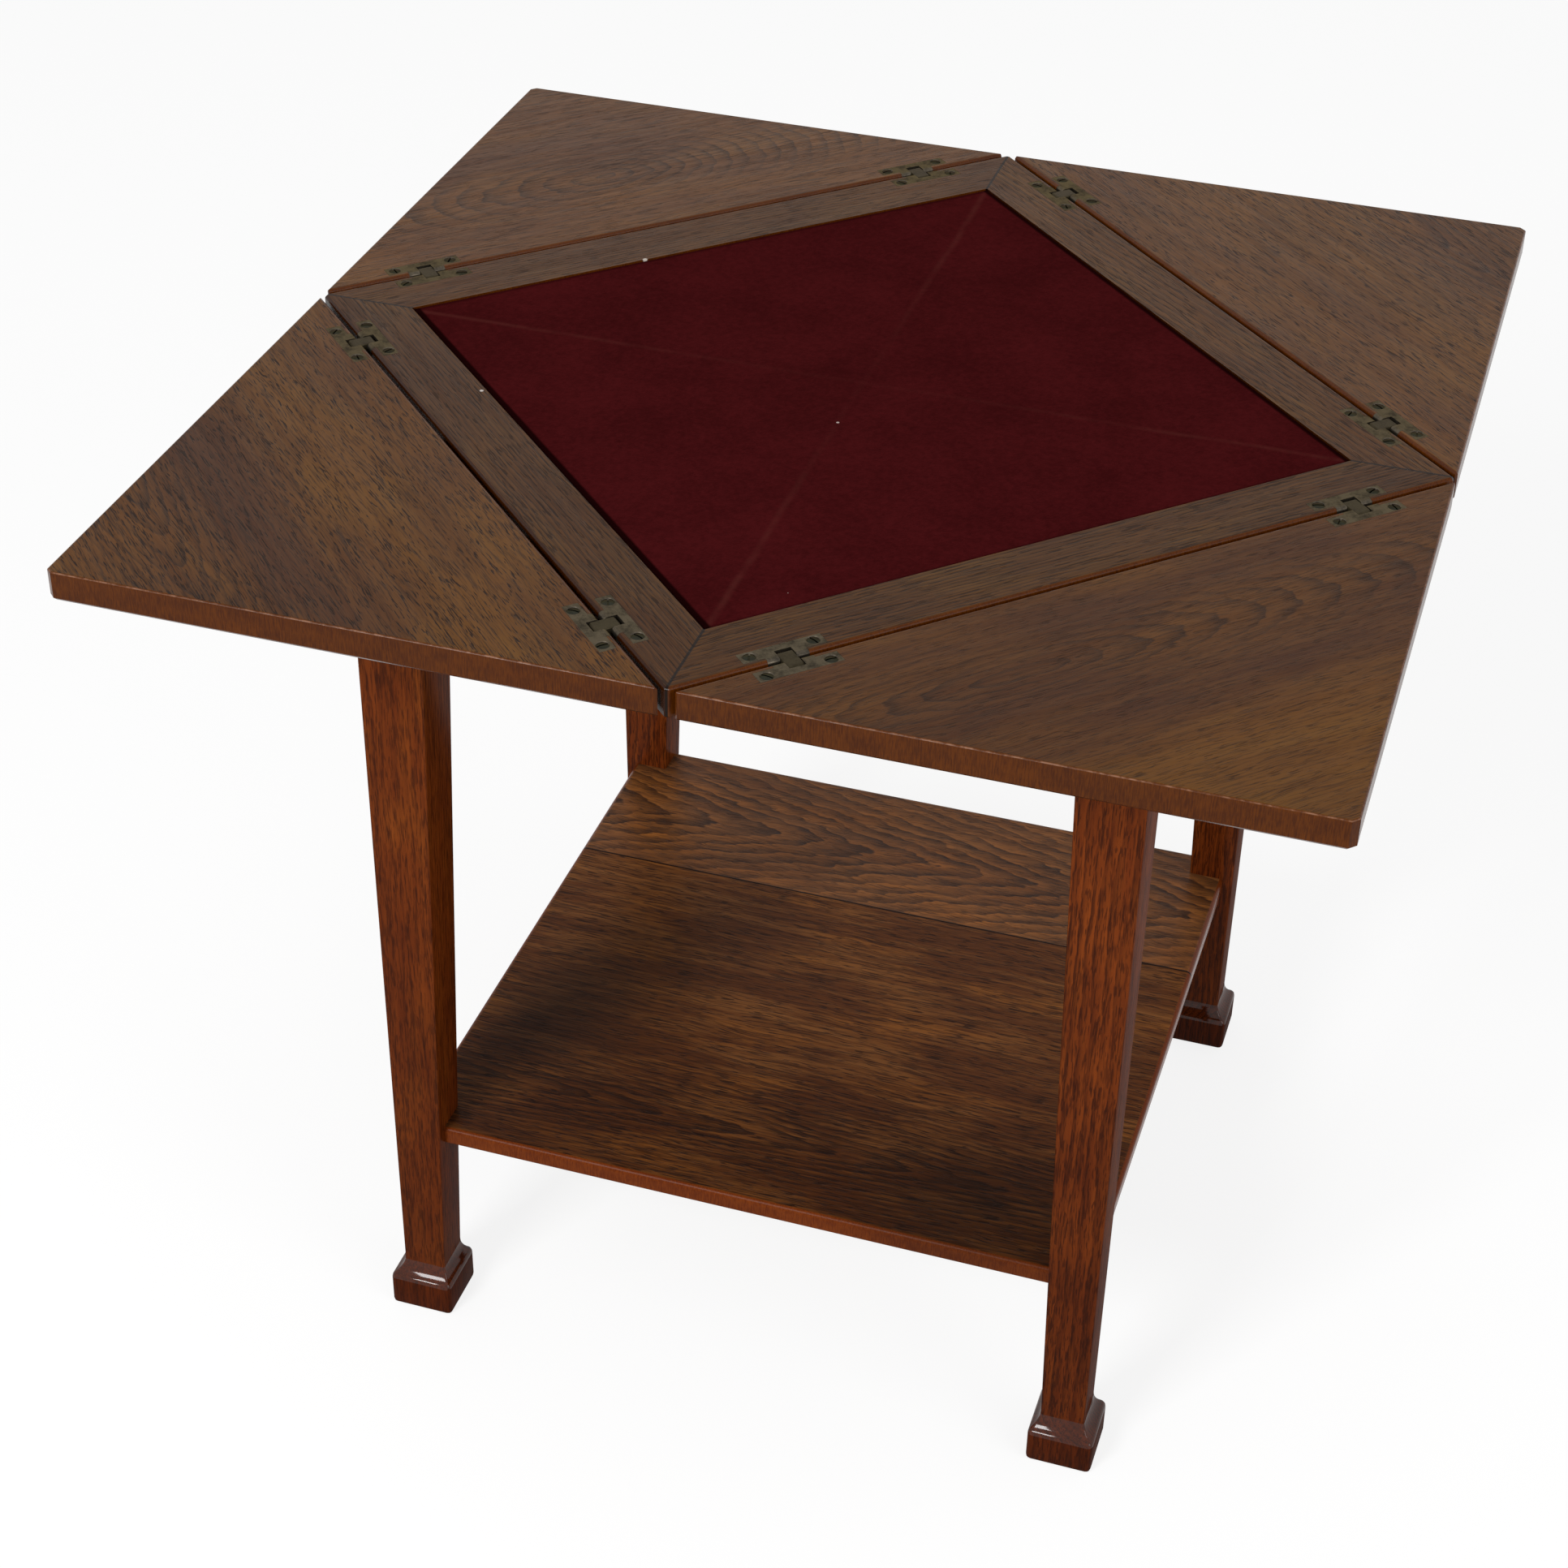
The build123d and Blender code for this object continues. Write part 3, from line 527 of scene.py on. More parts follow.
def brass_material(name, bright, dull, turn=0, rough=(0.50, 0.30), metallic=0.85, gloss=0.5):
    """Old metal: a brown bloom, rubbed through here and there, over fine scratches.

    rough is the roughness of the bloom and of the rubbed metal.
    """
    g = Graph(name)
    place = g.place((0, 0, 0), (0, 0, turn))
    bloom = g.noise(place, (11, 11, 11), (2.0, 5.0, 1.0), 4.0, 0.65)
    speck = g.noise(place, (1.6, 1.6, 1.6), (0, 0, 0), 2.0, 0.6)
    scratch = g.noise(place, (12, 0.4, 0.4), (0, 0, 0), 2.0, 0.6)
    tone = g.times_plus(speck, 0.40, g.times_plus(scratch, 0.25, bloom))
    return g.finish(
        Base_Color=g.mix(g.span(tone, 0.56, 0.98), dull, bright),
        Metallic=metallic,
        Specular_IOR_Level=gloss,
        Specular_Tint=(0.50, 0.42, 0.26, 1),
        Roughness=g.span(tone, 0.5, 1.0, *rough),
        Normal=g.bump(g.math("ADD", scratch, speck), 0.00005, 0.8),
    )


def dress(node, material):
    """Puts one material on a CAD node."""
    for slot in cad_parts[node].material_slots:
        slot.material = material


def choose(piece):
    """Leaves one piece selected and active, and nothing else."""
    if bpy.context.mode != "OBJECT":
        bpy.ops.object.mode_set(mode="OBJECT")
    bpy.ops.object.select_all(action="DESELECT")
    if piece:
        piece.select_set(True)
        bpy.context.view_layer.objects.active = piece


def apply_place(piece):
    """Moves a piece's place, turn and scale into its mesh."""
    choose(piece)
    bpy.ops.object.transform_apply(location=True, rotation=True, scale=True)


def apply_modifier(piece, modifier):
    choose(piece)
    bpy.ops.object.modifier_apply(modifier=modifier.name)


def settle(piece, name, body, slot, *materials):
    """Names a finished piece, applies its place to its mesh and seats it on its body."""
    apply_place(piece)
    piece.name = name
    piece.data.name = name
    piece.data.materials.clear()
    for material in materials:
        piece.data.materials.append(material)
    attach(piece, body)
    return piece


def smooth(piece, angle=35):
    """Shades a piece smooth but for its edges sharper than angle, in degrees."""
    choose(piece)
    bpy.ops.object.shade_smooth_by_angle(angle=radians(angle))


def pick_faces(piece, wanted):
    """Goes into edit mode with only the wanted faces selected."""
    choose(piece)
    bpy.ops.object.mode_set(mode="EDIT")
    bpy.ops.mesh.select_mode(type="FACE")
    bpy.ops.mesh.select_all(action="DESELECT")
    bpy.ops.object.mode_set(mode="OBJECT")
    for face in piece.data.polygons:
        face.select = wanted(face)
    bpy.ops.object.mode_set(mode="EDIT")


def box(low, high):
    """A cuboid between two corners."""
    choose(None)
    size = [b - a for a, b in zip(low, high)]
    middle = [(a + b) / 2 for a, b in zip(low, high)]
    bpy.ops.mesh.primitive_cube_add(size=1, location=middle, scale=size)
    piece = bpy.context.object
    apply_place(piece)
    return piece


def cut(piece, cutter, operation="DIFFERENCE"):
    """Takes the cutter from the piece, or joins it on, and removes the cutter."""
    modifier = piece.modifiers.new("Cut", "BOOLEAN")
    modifier.object = cutter
    modifier.operation = operation
    modifier.solver = "EXACT"
    apply_modifier(piece, modifier)
    bpy.data.objects.remove(cutter)


def bevel(piece, width, segments=2, angle=30, weighted=False):
    """Softens the edges sharper than angle, or else by their weights. The modifier stays live."""
    modifier = piece.modifiers.new("Worn edges", "BEVEL")
    modifier.width = width
    modifier.segments = segments
    modifier.limit_method = "WEIGHT" if weighted else "ANGLE"
    modifier.angle_limit = radians(angle)
    return modifier


def placed_copy(pattern, matrix):
    """A copy of a piece with its own mesh, moved to its place in that mesh."""
    copy = pattern.copy()
    copy.data = pattern.data.copy()
    bpy.context.collection.objects.link(copy)
    copy.data.transform(matrix)
    return copy


def join(pieces):
    """Makes one piece of several."""
    choose(pieces[0])
    for piece in pieces:
        piece.select_set(True)
    bpy.ops.object.join()
    return bpy.context.object


class CARDTABLE_OT_flaps(bpy.types.Operator):
    """Figures the four triangular flaps and polishes their edges"""

    bl_idname = "card_table.flaps"
    bl_label = "Flaps"

    def execute(self, context):
        c = context.scene.card_table_timber
        figures = {
            "front_right": dict(
                seed=3.1, heart=(98, 379, 743), stretch=4.6, spacing=6.4, rings=1.0, focus=36, warp=5.0,
                warp_size=(46, 20), shake=5.0, background=0.06, dashes=0.60, hair=0.45,
                belts=((430, 46, 0.50, -0.3), (338, 26, 0.35, -0.2), (515, 60, -0.3, 0.14)),
            ),
            "front_left": dict(
                seed=7.7, heart=(0, 517, 735), stretch=900.0, taper=-0.15, spacing=7.0, rings=0.95, focus=60,
                shake=4.0, background=0.12, dashes=0.98, dash_size=(11, 0.9),
                belts=((462, 32, 0.45, -0.3), (375, 50, -0.2, 0.20)),
            ),
            "back_left": dict(
                seed=12.4, heart=(-17, 404, 743), stretch=2.0, taper=0.12, spacing=9.0, rings=1.0, focus=42,
                warp=7.0, warp_size=(60, 30), shake=5.5, background=0.05, dashes=0.60,
                belts=((470, 40, 0.25, 0.0),),
            ),
            "back_right": dict(
                seed=17.9, heart=(0, 520, 733), stretch=900.0, taper=0.16, spacing=8.0, rings=1.0, focus=52,
                warp=6.0, shake=4.0, background=0.16, dashes=0.9, dash_size=(11, 1.0),
                belts=((440, 50, -0.2, 0.25),),
            ),
        }
        # The polished edges of the flaps, with a painted highlight along their upper arrises
        common = dict(
            edge=(c.edge_ground, c.edge_shade), worn=c.arris_highlight, ring_power=2.8, zones=0.40, streaks=0.28,
            hair=0.62, glow=0.22,
        )
        # Lightness and polish of each flap, as shares of the top's own
        finishes = {
            "back_right": (1.12, 1.18), "back_left": (1.24, 1.32), "front_left": (1.05, 1.0),
            "front_right": (1.05, 1.0),
        }
        for side, turn in TURNS.items():
            lightness, polish = finishes[side]
            figure = {**common, "gloss": polish * c.top_sheen, **figures[side]}
            tones = shaded(c.tones("top"), lightness)
            dress(f"flap_{side}", timber(f"flap_timber_{side}", tones, (0, 0, 0), (0, 0, turn), **figure))
        return {"FINISHED"}


class CARDTABLE_OT_rims(bpy.types.Operator):
    """Finishes the mitred rim round the field"""

    bl_idname = "card_table.rims"
    bl_label = "Rims"

    def execute(self, context):
        c = context.scene.card_table_timber
        straight = dict(
            heart=(0, 120, 640), stretch=30.0, warp=5.0, warp_size=(160, 20), shake=1.6, spacing=2.9
        )
        arched = dict(heart=(0, 322, 736), stretch=900.0, taper=0.09, warp_size=(110, 24))
        # Each side's seed, its lightness, the lightness of its edges, cut on the front left and back right as
        # painted shade in the gaps there, and the run of its rings
        sides = {
            "back_right": (21.0, 0.98, 0.35, arched),
            "back_left": (24.5, 0.98, 1.0, straight),
            "front_left": (28.2, 0.80, 0.35, straight),
            "front_right": (31.9, 0.80, 1.0, straight),
        }
        for side, (seed, lightness, edge_lightness, rings) in sides.items():
            edge = shaded((c.edge_ground, c.edge_shade), edge_lightness)
            material = timber(
                f"rim_timber_{side}", shaded(c.tones("top"), lightness), (0, 0, 0), (0, 0, TURNS[side]), seed,
                rings=0.9, ring_power=2.0, dashes=0.70, dash_size=(15, 1.2), zones=0.35, hair=0.45, glow=0.4,
                gloss=c.top_sheen, edge=edge, seams=((0, 0), (1, 0)), marks=CHIPS.get(side, ()), **rings,
            )
            dress(f"rim_{side}", material)
        return {"FINISHED"}


class CARDTABLE_OT_baize(bpy.types.Operator):
    """Lays the baize in the field, with the creases that the closed flaps leave"""

    bl_idname = "card_table.baize"
    bl_label = "Baize"

    def execute(self, context):
        c = context.scene.card_table_baize
        side = (FIELD_HIGH.x - FIELD_LOW.x) / 2 ** 0.5
        thickness = FIELD_HIGH.z - FIELD_LOW.z
        choose(None)
        bpy.ops.mesh.primitive_grid_add(
            x_subdivisions=150, y_subdivisions=150, size=side, location=(0, 0, FIELD_LOW.z),
            rotation=(0, 0, pi / 4),
        )
        cloth = context.object
        apply_place(cloth)
        modifier = cloth.modifiers.new("Thickness", "SOLIDIFY")
        modifier.thickness = thickness
        modifier.offset = 1
        apply_modifier(cloth, modifier)
        # The nap is pressed down all over but on the creases, and is a little uneven
        waves = 14
        for vertex in cloth.data.vertices:
            if vertex.co.z > FIELD_LOW.z + thickness / 2:
                x, y = vertex.co.x, vertex.co.y
                lift = -2 * c.crease_depth
                for across in (x, y):
                    lift += c.crease_depth * max(0, 1 - (across / c.crease_width) ** 2)
                lift += 0.5 * c.crease_depth * noise.noise(Vector((x * waves, y * waves, 0.3)))
                vertex.co.z += min(0, lift)
        settle(cloth, "baize_cloth", "top", "baize", baize_material(c))
        smooth(cloth)
        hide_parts("baize")
        return {"FINISHED"}


def pin_cylinder(c, width, radius):
    """A cylinder about the pin's axis of the leaf pattern."""
    choose(None)
    bpy.ops.mesh.primitive_cylinder_add(
        vertices=ROUND_SIDES, radius=radius, depth=width, location=(0, c.pin_inset, -c.pin_depth),
        rotation=(0, pi / 2, 0),
    )
    piece = bpy.context.object
    apply_place(piece)
    return piece


def hinge_leaf(c):
    """One leaf with the gap's face at Y = 0, its wood towards +Y and its face at Z = 0.

    What cuts it stands out of it by over.
    """
    half = c.leaf_length / 2
    over = 0.001
    leaf = box((-half, c.leaf_setback, -c.leaf_thickness), (half, c.leaf_setback + c.leaf_width, 0))
    for x in (-c.spacing / 2, c.spacing / 2):
        choose(None)
        depth = c.sink_radius - c.shank_radius + over
        bpy.ops.mesh.primitive_cone_add(
            vertices=ROUND_SIDES, radius1=c.shank_radius, radius2=c.sink_radius + over, depth=depth,
            location=(x, c.setback, over - depth / 2),
        )
        sink = bpy.context.object
        apply_place(sink)
        cut(leaf, sink)
    knuckle = box((-c.knuckle_width / 2, 0, -c.knuckle_depth), (c.knuckle_width / 2, c.knuckle_reach, 0))
    weights = knuckle.data.attributes.new("bevel_weight_edge", "FLOAT", "EDGE")
    for edge in knuckle.data.edges:
        ends = [knuckle.data.vertices[i].co for i in edge.vertices]
        weights.data[edge.index].value = all(end.y < CLOSE and end.z > -CLOSE for end in ends)
    apply_modifier(knuckle, bevel(knuckle, c.knuckle_round, 4, weighted=True))
    cut(leaf, knuckle, "UNION")
    half = c.pocket_width / 2
    cut(leaf, pin_cylinder(c, c.pocket_width, c.pocket_radius))
    cut(leaf, box((-half, -over, -c.pin_depth - c.pocket_radius), (half, c.pin_inset, over)))
    cut(leaf, box((-half, -over, -c.pin_depth), (half, c.pin_inset + c.pocket_radius, over)))
    apply_modifier(leaf, bevel(leaf, c.edge_round, 2, 40))
    return leaf


class CARDTABLE_OT_hinges(bpy.types.Operator):
    """Makes the slotted leaves of the hinges, and softens the links that join them"""

    bl_idname = "card_table.hinges"
    bl_label = "Hinges"

    def execute(self, context):
        c = context.scene.card_table_hinges
        pattern = hinge_leaf(c)
        for side, turn in TURNS.items():
            brass = brass_material(f"brass_{side}", c.bright, c.dull, turn)
            link_brass = brass_material(
                f"link_brass_{side}", c.link, dimmed(c.link, 0.6), turn, metallic=0.5, gloss=0.15
            )
            spin = Matrix.Rotation(radians(turn), 4, "Z")
            for kind, edge, about in (("rim", c.rim_edge, pi), ("flap", c.flap_edge, 0)):
                own = Matrix.Rotation(about, 4, "Z")
                pair = [
                    placed_copy(pattern, spin @ Matrix.Translation((x, edge, TOP_Z)) @ own)
                    for x in (-c.hinge_place, c.hinge_place)
                ]
                body = "top" if kind == "rim" else f"{side}_flap"
                leaves = settle(join(pair), f"hinge_leaves_{kind}_{side}", body, "brass", brass)
                smooth(leaves)
                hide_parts(f"{kind}_leaves_{side}")
            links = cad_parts[f"links_{side}"]
            dress(f"links_{side}", link_brass)
            weld = links.modifiers.new("Weld", "WELD")
            weld.merge_threshold = CLOSE
            bevel(links, 2 * c.edge_round, 2, 40)
        bpy.data.objects.remove(pattern)
        steel = brass_material("steel", c.steel, dimmed(c.steel, 0.5))
        flap_pins = [f"flap_pins_{side}" for side in TURNS]
        for node in (*flap_pins, "rim_pins", "pivot_bolt", "pivot_washer", "pivot_nut"):
            dress(node, steel)
        return {"FINISHED"}


def slotted_screw(c):
    """One slotted screw with its raised head's crown at the origin, driven along -Z."""
    choose(None)
    bpy.ops.mesh.primitive_cylinder_add(
        vertices=ROUND_SIDES, radius=c.head_radius, depth=c.head_depth,
        location=(0, 0, -c.head_rise - c.head_depth / 2),
    )
    screw = bpy.context.object
    apply_place(screw)
    share = c.shank_radius / c.head_radius
    bottom = -c.head_rise - c.head_depth
    pick_faces(screw, lambda face: face.normal.z < -0.9)
    bpy.ops.transform.resize(value=(share, share, 1), center_override=(0, 0, bottom))
    bpy.ops.mesh.extrude_region_move(TRANSFORM_OT_translate={"value": (0, 0, -c.screw_length)})
    pick_faces(screw, lambda face: face.normal.z > 0.9)
    # The crown in three steps: how far each goes in, and what it adds to the rise
    for inset, rise in ((0.28, 0.60), (0.30, 0.30), (0.25, 0.10)):
        bpy.ops.mesh.inset(thickness=inset * c.head_radius, depth=0)
        bpy.ops.transform.translate(value=(0, 0, rise * c.head_rise))
    bpy.ops.object.mode_set(mode="OBJECT")
    reach, half = 0.01, c.slot_width / 2
    cut(screw, box((-reach, -half, -c.slot_depth), (reach, half, c.slot_depth)))
    return screw


class CARDTABLE_OT_screws(bpy.types.Operator):
    """Drives the slotted screws of the hinges, each turned its own way"""

    bl_idname = "card_table.screws"
    bl_label = "Screws"

    def execute(self, context):
        c = context.scene.card_table_hinges
        pattern = slotted_screw(c)
        first_turn, next_turn = 31, 67
        metal = brass_material("screw_metal", dimmed(c.screw, 1.6), c.screw, rough=(0.32, 0.20))
        sets = {group: [] for group in ("rim", *TURNS)}
        count = 0
        for side, turn in TURNS.items():
            spin = Matrix.Rotation(radians(turn), 4, "Z")
            for hinge in (-c.hinge_place, c.hinge_place):
                for along in (-c.spacing / 2, c.spacing / 2):
                    for group, y in (("rim", c.rim_edge - c.setback), (side, c.flap_edge + c.setback)):
                        own = Matrix.Rotation(radians(first_turn + next_turn * count), 4, "Z")
                        place = Matrix.Translation((hinge + along, y, TOP_Z))
                        sets[group].append(placed_copy(pattern, spin @ place @ own))
                        count += 1
        bpy.data.objects.remove(pattern)
        for group, screws in sets.items():
            body = "top" if group == "rim" else f"{group}_flap"
            piece = settle(join(screws), f"slotted_screws_{group}", body, "brass", metal)
            smooth(piece)
            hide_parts("rim_screws" if group == "rim" else f"flap_screws_{group}")
        return {"FINISHED"}


def leg_sections(c):
    """Height, inner and outer face of a leg, from the floor up, with the cove as two arcs."""
    outer = c.face + c.foot_projection
    inner = outer - c.foot_side
    ankle = c.face - c.ankle_side
    radii = [(reach * reach + c.cove_height ** 2) / (2 * reach) for reach in (ankle - inner, outer - c.face)]
    sweep = asin(c.cove_height / radii[1])
    sections = [(0, inner, outer), (c.foot_height, inner, outer)]
    for step in range(COVE_STEPS - 1, -1, -1):
        drop = c.cove_height * sin(sweep * (step / COVE_STEPS)) / sin(sweep)
        inward, outward = [radius - (radius * radius - drop * drop) ** 0.5 for radius in radii]
        sections.append((c.foot_height + c.cove_height - drop, ankle - inward, c.face + outward))
    sections.append((c.rail_bottom, c.face - c.side, c.face))
    sections.append((c.top, c.face - c.side, c.face))
    return sections


def soften_leg(c, leg):
    """Rounds the foot's arrises most, the cove's less and the leg's least. Edges across it stay sharp."""
    weights = leg.data.attributes.new("bevel_weight_edge", "FLOAT", "EDGE")
    foot_upper, cove, cove_reach = 0.55, 0.6, 0.006
    for edge in leg.data.edges:
        a, b = [leg.data.vertices[i].co for i in edge.vertices]
        top, bottom = max(a.z, b.z), min(a.z, b.z)
        if top <= c.foot_height + CLOSE:
            weight = foot_upper if bottom > CLOSE else 1.0
        elif bottom != top or bottom > c.rail_bottom + CLOSE:
            weight = c.arris / c.foot_round if bottom > c.foot_height + cove_reach else cove
        else:
            weight = 0.0
        weights.data[edge.index].value = weight
    apply_modifier(leg, bevel(leg, c.foot_round, 3, weighted=True))


def leg_pattern(c):
    """The back right leg, drawn up from its sole section by section."""
    sections = leg_sections(c)
    low, inner, outer = sections[0]
    leg = box((inner, inner, low), (outer, outer, sections[1][0]))
    pick_faces(leg, lambda face: face.normal.z > 0.9)
    for (z0, a0, b0), (z1, a1, b1) in zip(sections[1:], sections[2:]):
        shift = (a1 + b1 - a0 - b0) / 2
        bpy.ops.mesh.extrude_region_move(TRANSFORM_OT_translate={"value": (shift, shift, z1 - z0)})
        share = (b1 - a1) / (b0 - a0)
        middle = (a1 + b1) / 2
        bpy.ops.transform.resize(value=(share, share, 1), center_override=(middle, middle, z1))
    bpy.ops.object.mode_set(mode="OBJECT")
    soften_leg(c, leg)
    return leg


class CARDTABLE_OT_legs(bpy.types.Operator):
    """Makes the four tapered legs with their block feet"""

    bl_idname = "card_table.legs"
    bl_label = "Legs"

    def execute(self, context):
        c = context.scene.card_table_timber
        sizes = context.scene.card_table_legs
        pattern = leg_pattern(sizes)
        foot = [c.foot_ground, dimmed(c.foot_ground, 0.6), c.frame_shade, c.frame_figure]
        # The foot's polish ends a little below the top of the hollow, and is brightest on the hollow itself
        polish_line = sizes.foot_height + sizes.cove_height - 0.0015
        upward = 0.15
        # Each leg's seed, its lightness, the front right leg's raised partly as painted light for the
        # stronger light on its right side, how far it darkens towards the floor, and its rings and pores
        looks = {
            "back_right": (41.0, 1.08, 0.30, 0.75, 0.65),
            "back_left": (44.5, 1.24, 0.0, 0.75, 0.65),
            "front_left": (48.2, 1.08, 0.52, 0.32, 0.50),
            "front_right": (51.9, 1.24, 0.66, 0.75, 0.65),
        }
        for corner, (seed, lightness, low_share, rings, dashes) in looks.items():
            sx, sy = CORNERS[corner]
            grain = dict(
                origin=(0.25 * sx, 0.25 * sy, 0), turn=(0, -90, 0), seed=seed, heart=(0, -75 * sy, -60 * sx),
                warp=5.0, warp_size=(90, 18), shake=1.8, spacing=3.4, rings=rings, ring_power=1.8,
                dashes=dashes, dash_size=(13, 0.8), hair=0.55, zones=0.45, streaks=0.4, gloss=0.0,
            )
            tones = shaded(c.tones("frame"), lightness)
            body = timber(f"leg_timber_{corner}", tones, coat=0.11, fade=(0, 60, 600, low_share), **grain)
            hollow = timber(f"cove_timber_{corner}", foot, coat=0.55, coat_roughness=0.08, **grain)
            block = timber(f"foot_timber_{corner}", foot, coat=0.07, coat_roughness=0.14, **grain)
            turned = placed_copy(pattern, Matrix.Rotation(radians(LEG_TURNS[corner]), 4, "Z"))
            leg = settle(turned, f"tapered_leg_{corner}", "base", "oak_frame", body, hollow, block)
            for face in leg.data.polygons:
                if face.center.z < polish_line:
                    face.material_index = 1 if face.normal.z > upward else 2
            smooth(leg, 32)
            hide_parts(f"leg_{corner}")
        bpy.data.objects.remove(pattern)
        return {"FINISHED"}


class CARDTABLE_OT_frame(bpy.types.Operator):
    """Polishes the rails and leaves the wood under the top plain"""

    bl_idname = "card_table.frame"
    bl_label = "Frame under the top"

    def execute(self, context):
        c = context.scene.card_table_timber
        oak = c.tones("frame")
        for count, (name, turn) in enumerate((("back", 0), ("left", 90), ("front", 180), ("right", 270))):
            material = timber(
                f"rail_timber_{name}", oak, (0, 0, 0.69), (90, 0, turn), 60.0 + 3.7 * count,
                heart=(0, -90, -300), spacing=4.0, gloss=0.0, coat=0.13,
            )
            dress(f"rail_{name}", material)
        peg = timber(
            "peg_timber", oak, (0.1, 0.04, 0.71), (0, -90, 0), 101.0, heart=(0, 40, -60), spacing=3.0
        )
        dress("stop_peg", peg)

        # Plain pine: node, material, place, turn, seed and heart of the rings
        boards = [
            ("bearer_lengthwise", "bearer_pine", (0, 0, 0.71), 0, 75.0, (0, 20, -60)),
            ("bearer_crosswise", "crossed_pine", (0, 0, 0.71), 90, 78.0, (0, -15, -50)),
            ("core_board", "core_pine", (0, 0, 0.73), 45, 95.0, (0, 80, -90)),
            ("swivel_pad", "pad_pine", (0, 0, 0.72), 45, 98.0, (0, 40, -60)),
        ]
        for count, (corner, (sx, sy)) in enumerate(CORNERS.items()):
            place = (0.2 * sx, 0.2 * sy, 0.7)
            seed = 81.0 + 2.9 * count
            name = f"corner_block_{corner}"
            boards.append((name, f"block_pine_{corner}", place, -45 * sx * sy, seed, (0, 30, -50)))
        for node, name, place, turn, seed, heart in boards:
            material = timber(
                name, c.tones("pine"), place, (0, 0, turn), seed, heart=heart, dashes=0.1, hair=0.15,
                warp=12.0, glow=0.3, roughness=0.6, gloss=0.2,
            )
            dress(node, material)
        return {"FINISHED"}


class CARDTABLE_OT_shelf(bpy.types.Operator):
    """Polishes the two boards of the shelf, the back one with its nested arches of grain"""

    bl_idname = "card_table.shelf"
    bl_label = "Shelf"

    def execute(self, context):
        c = context.scene.card_table_timber
        oak = c.tones("shelf")
        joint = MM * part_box("shelf_board_back")[0].y
        common = dict(
            stretch=900.0, roughness=0.36, seams=((1, joint),), edge=(c.frame_ground, c.frame_shade)
        )
        back = timber(
            "shelf_timber_back", shaded(oak, 1.68), (0, 0.181, 0.186), (0, 0, 0), 111.0, heart=(0, 0, -9),
            taper=0.28, warp=12.0, warp_size=(44, 22), shake=11.0, spacing=13.0, rings=1.0, ring_power=1.0,
            focus=90, background=0.45, dashes=0.55, zones=0.35, gloss=0.10, **common,
        )
        # The front board darkens towards its front edge as painted shade, and carries dark spots that are
        # partly stains and partly painted shadow of the front legs
        front = timber(
            "shelf_timber_front", shaded(oak, 1.34), (0, -0.176, 0.186), (0, 0, 0), 117.0,
            heart=(0, -24, -12), taper=0.08, warp=9.0, warp_size=(80, 30), shake=4.0, spacing=5.6, rings=0.95,
            ring_power=1.6, focus=60, background=0.30, dashes=0.75, dash_size=(15, 1.2), hair=0.62,
            streaks=0.7, zones=0.75, gloss=0.05, marks=STAINS_AND_SHADOWS, fade=(1, -80, 150, 0.62), **common,
        )
        dress("shelf_board_back", back)
        dress("shelf_board_front", front)
        return {"FINISHED"}


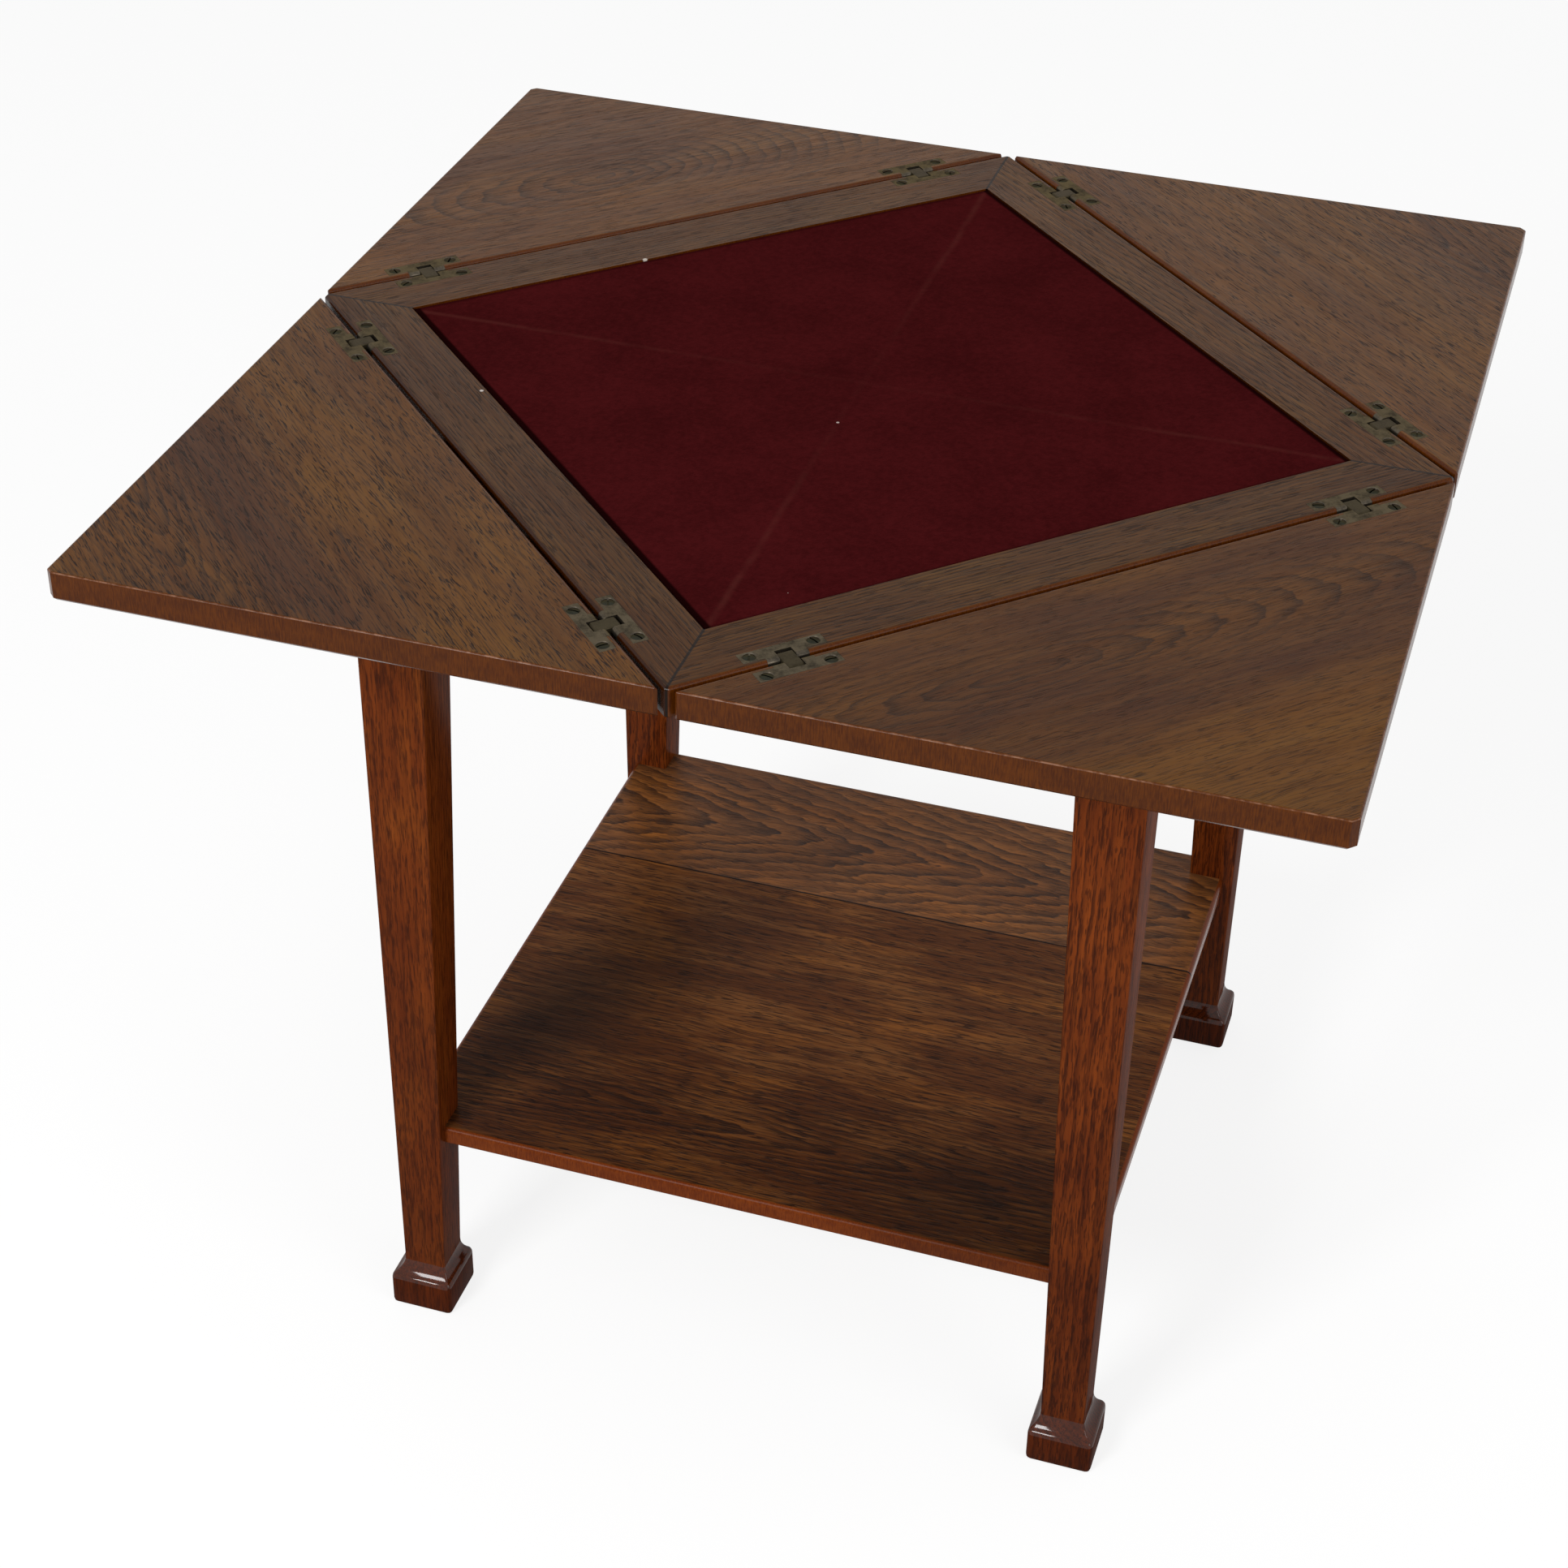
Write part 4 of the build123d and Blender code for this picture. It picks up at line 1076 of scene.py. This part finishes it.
class CARDTABLE_OT_stage(bpy.types.Operator):
    """Sets the camera, the soft lamps and the pale floor"""

    bl_idname = "card_table.stage"
    bl_label = "Stage"

    def execute(self, context):
        c = context.scene.card_table_stage
        a, e, r = c.azimuth, c.elevation, c.roll
        forward = Vector((-sin(a) * cos(e), cos(a) * cos(e), -sin(e)))
        right = Vector((cos(a), sin(a), 0))
        up = right.cross(forward)
        x_axis = right * cos(r) + up * sin(r)
        y_axis = up * cos(r) - right * sin(r)
        lens = bpy.data.cameras.new("camera")
        lens.lens = c.lens
        lens.sensor_width = 36
        lens.clip_end = 50
        camera = bpy.data.objects.new("camera", lens)
        context.collection.objects.link(camera)
        turned = Matrix((x_axis, y_axis, -forward)).transposed().to_4x4()
        camera.matrix_world = Matrix.Translation(Vector(c.target) - forward * c.distance) @ turned
        context.scene.camera = camera

        for name, place, side in LAMPS:
            light = bpy.data.lights.new(name, "AREA")
            light.shape = "SQUARE"
            light.size = side
            light.energy = getattr(c, f"{name}_power")
            lamp = bpy.data.objects.new(name, light)
            context.collection.objects.link(lamp)
            away = Vector(place) - Vector(LIT_POINT)
            aimed = away.to_track_quat("Z", "Y").to_matrix().to_4x4()
            lamp.matrix_world = Matrix.Translation(place) @ aimed

        choose(None)
        bpy.ops.mesh.primitive_plane_add(size=40, location=(0, 0, 0))
        floor = context.object
        floor.name = "floor"
        g = Graph("floor_paper")
        seen = self.seen_directly(g)
        paper = g.add("ShaderNodeBsdfDiffuse", {"Color": (0.62, 0.62, 0.62)})
        grey = g.add("ShaderNodeBsdfDiffuse", {"Color": (0.22, 0.22, 0.22)})
        glow = g.add("ShaderNodeEmission", {"Color": (1, 1, 1), "Strength": 0.82})
        bright = g.add("ShaderNodeAddShader", {0: grey.outputs[0], 1: glow.outputs[0]})
        both = g.add("ShaderNodeMixShader", {0: seen, 1: paper.outputs[0], 2: bright.outputs[0]})
        g.add("ShaderNodeOutputMaterial", {0: both.outputs[0]})
        floor.data.materials.append(g.owner)

        g = Graph("studio", world=True)
        context.scene.world = g.owner
        seen = self.seen_directly(g)
        strength = g.span(seen, 0.0, 1.0, c.sky_strength, 1.0, smooth=False)
        sky = g.add("ShaderNodeBackground", {"Color": (1, 1, 1), "Strength": strength})
        g.add("ShaderNodeOutputWorld", {0: sky.outputs[0]})
        context.scene.view_settings.view_transform = "Standard"
        return {"FINISHED"}

    def seen_directly(self, g):
        """1 for rays from the camera, from gloss and through glass, and 0 for the rest."""
        path = g.add("ShaderNodeLightPath").outputs
        either = g.math("MAXIMUM", path["Is Camera Ray"], path["Is Glossy Ray"])
        return g.math("MAXIMUM", either, path["Is Transmission Ray"])


class CARDTABLE_PT_panel(bpy.types.Panel):
    """Lists the pieces of the card table in the sidebar"""

    bl_idname = "CARDTABLE_PT_panel"
    bl_label = "Card table"
    bl_space_type = "VIEW_3D"
    bl_region_type = "UI"
    bl_category = "Card table"

    def draw(self, context):
        layout = self.layout
        for operator in OPERATORS:
            layout.operator(operator.bl_idname)
        for group in SETTINGS:
            section = layout.box()
            section.label(text=group)
            settings = getattr(context.scene, group)
            for name in settings.__annotations__:
                section.prop(settings, name)


SETTINGS = {
    "card_table_timber": TimberSettings,
    "card_table_baize": BaizeSettings,
    "card_table_legs": LegSettings,
    "card_table_hinges": HingeSettings,
    "card_table_stage": StageSettings,
}
OPERATORS = (
    CARDTABLE_OT_stage,
    CARDTABLE_OT_flaps,
    CARDTABLE_OT_rims,
    CARDTABLE_OT_baize,
    CARDTABLE_OT_hinges,
    CARDTABLE_OT_screws,
    CARDTABLE_OT_legs,
    CARDTABLE_OT_frame,
    CARDTABLE_OT_shelf,
)


def register():
    for group, settings in SETTINGS.items():
        bpy.utils.register_class(settings)
        setattr(bpy.types.Scene, group, bpy.props.PointerProperty(type=settings))
    for operator in OPERATORS:
        bpy.utils.register_class(operator)
    bpy.utils.register_class(CARDTABLE_PT_panel)


def unregister():
    bpy.utils.unregister_class(CARDTABLE_PT_panel)
    for operator in reversed(OPERATORS):
        bpy.utils.unregister_class(operator)
    for group, settings in SETTINGS.items():
        delattr(bpy.types.Scene, group)
        bpy.utils.unregister_class(settings)


def main():
    register()
    bpy.ops.card_table.stage()
    bpy.ops.card_table.flaps()
    bpy.ops.card_table.rims()
    bpy.ops.card_table.baize()
    bpy.ops.card_table.hinges()
    bpy.ops.card_table.screws()
    bpy.ops.card_table.legs()
    bpy.ops.card_table.frame()
    bpy.ops.card_table.shelf()


if __name__ == "__main__":
    main()
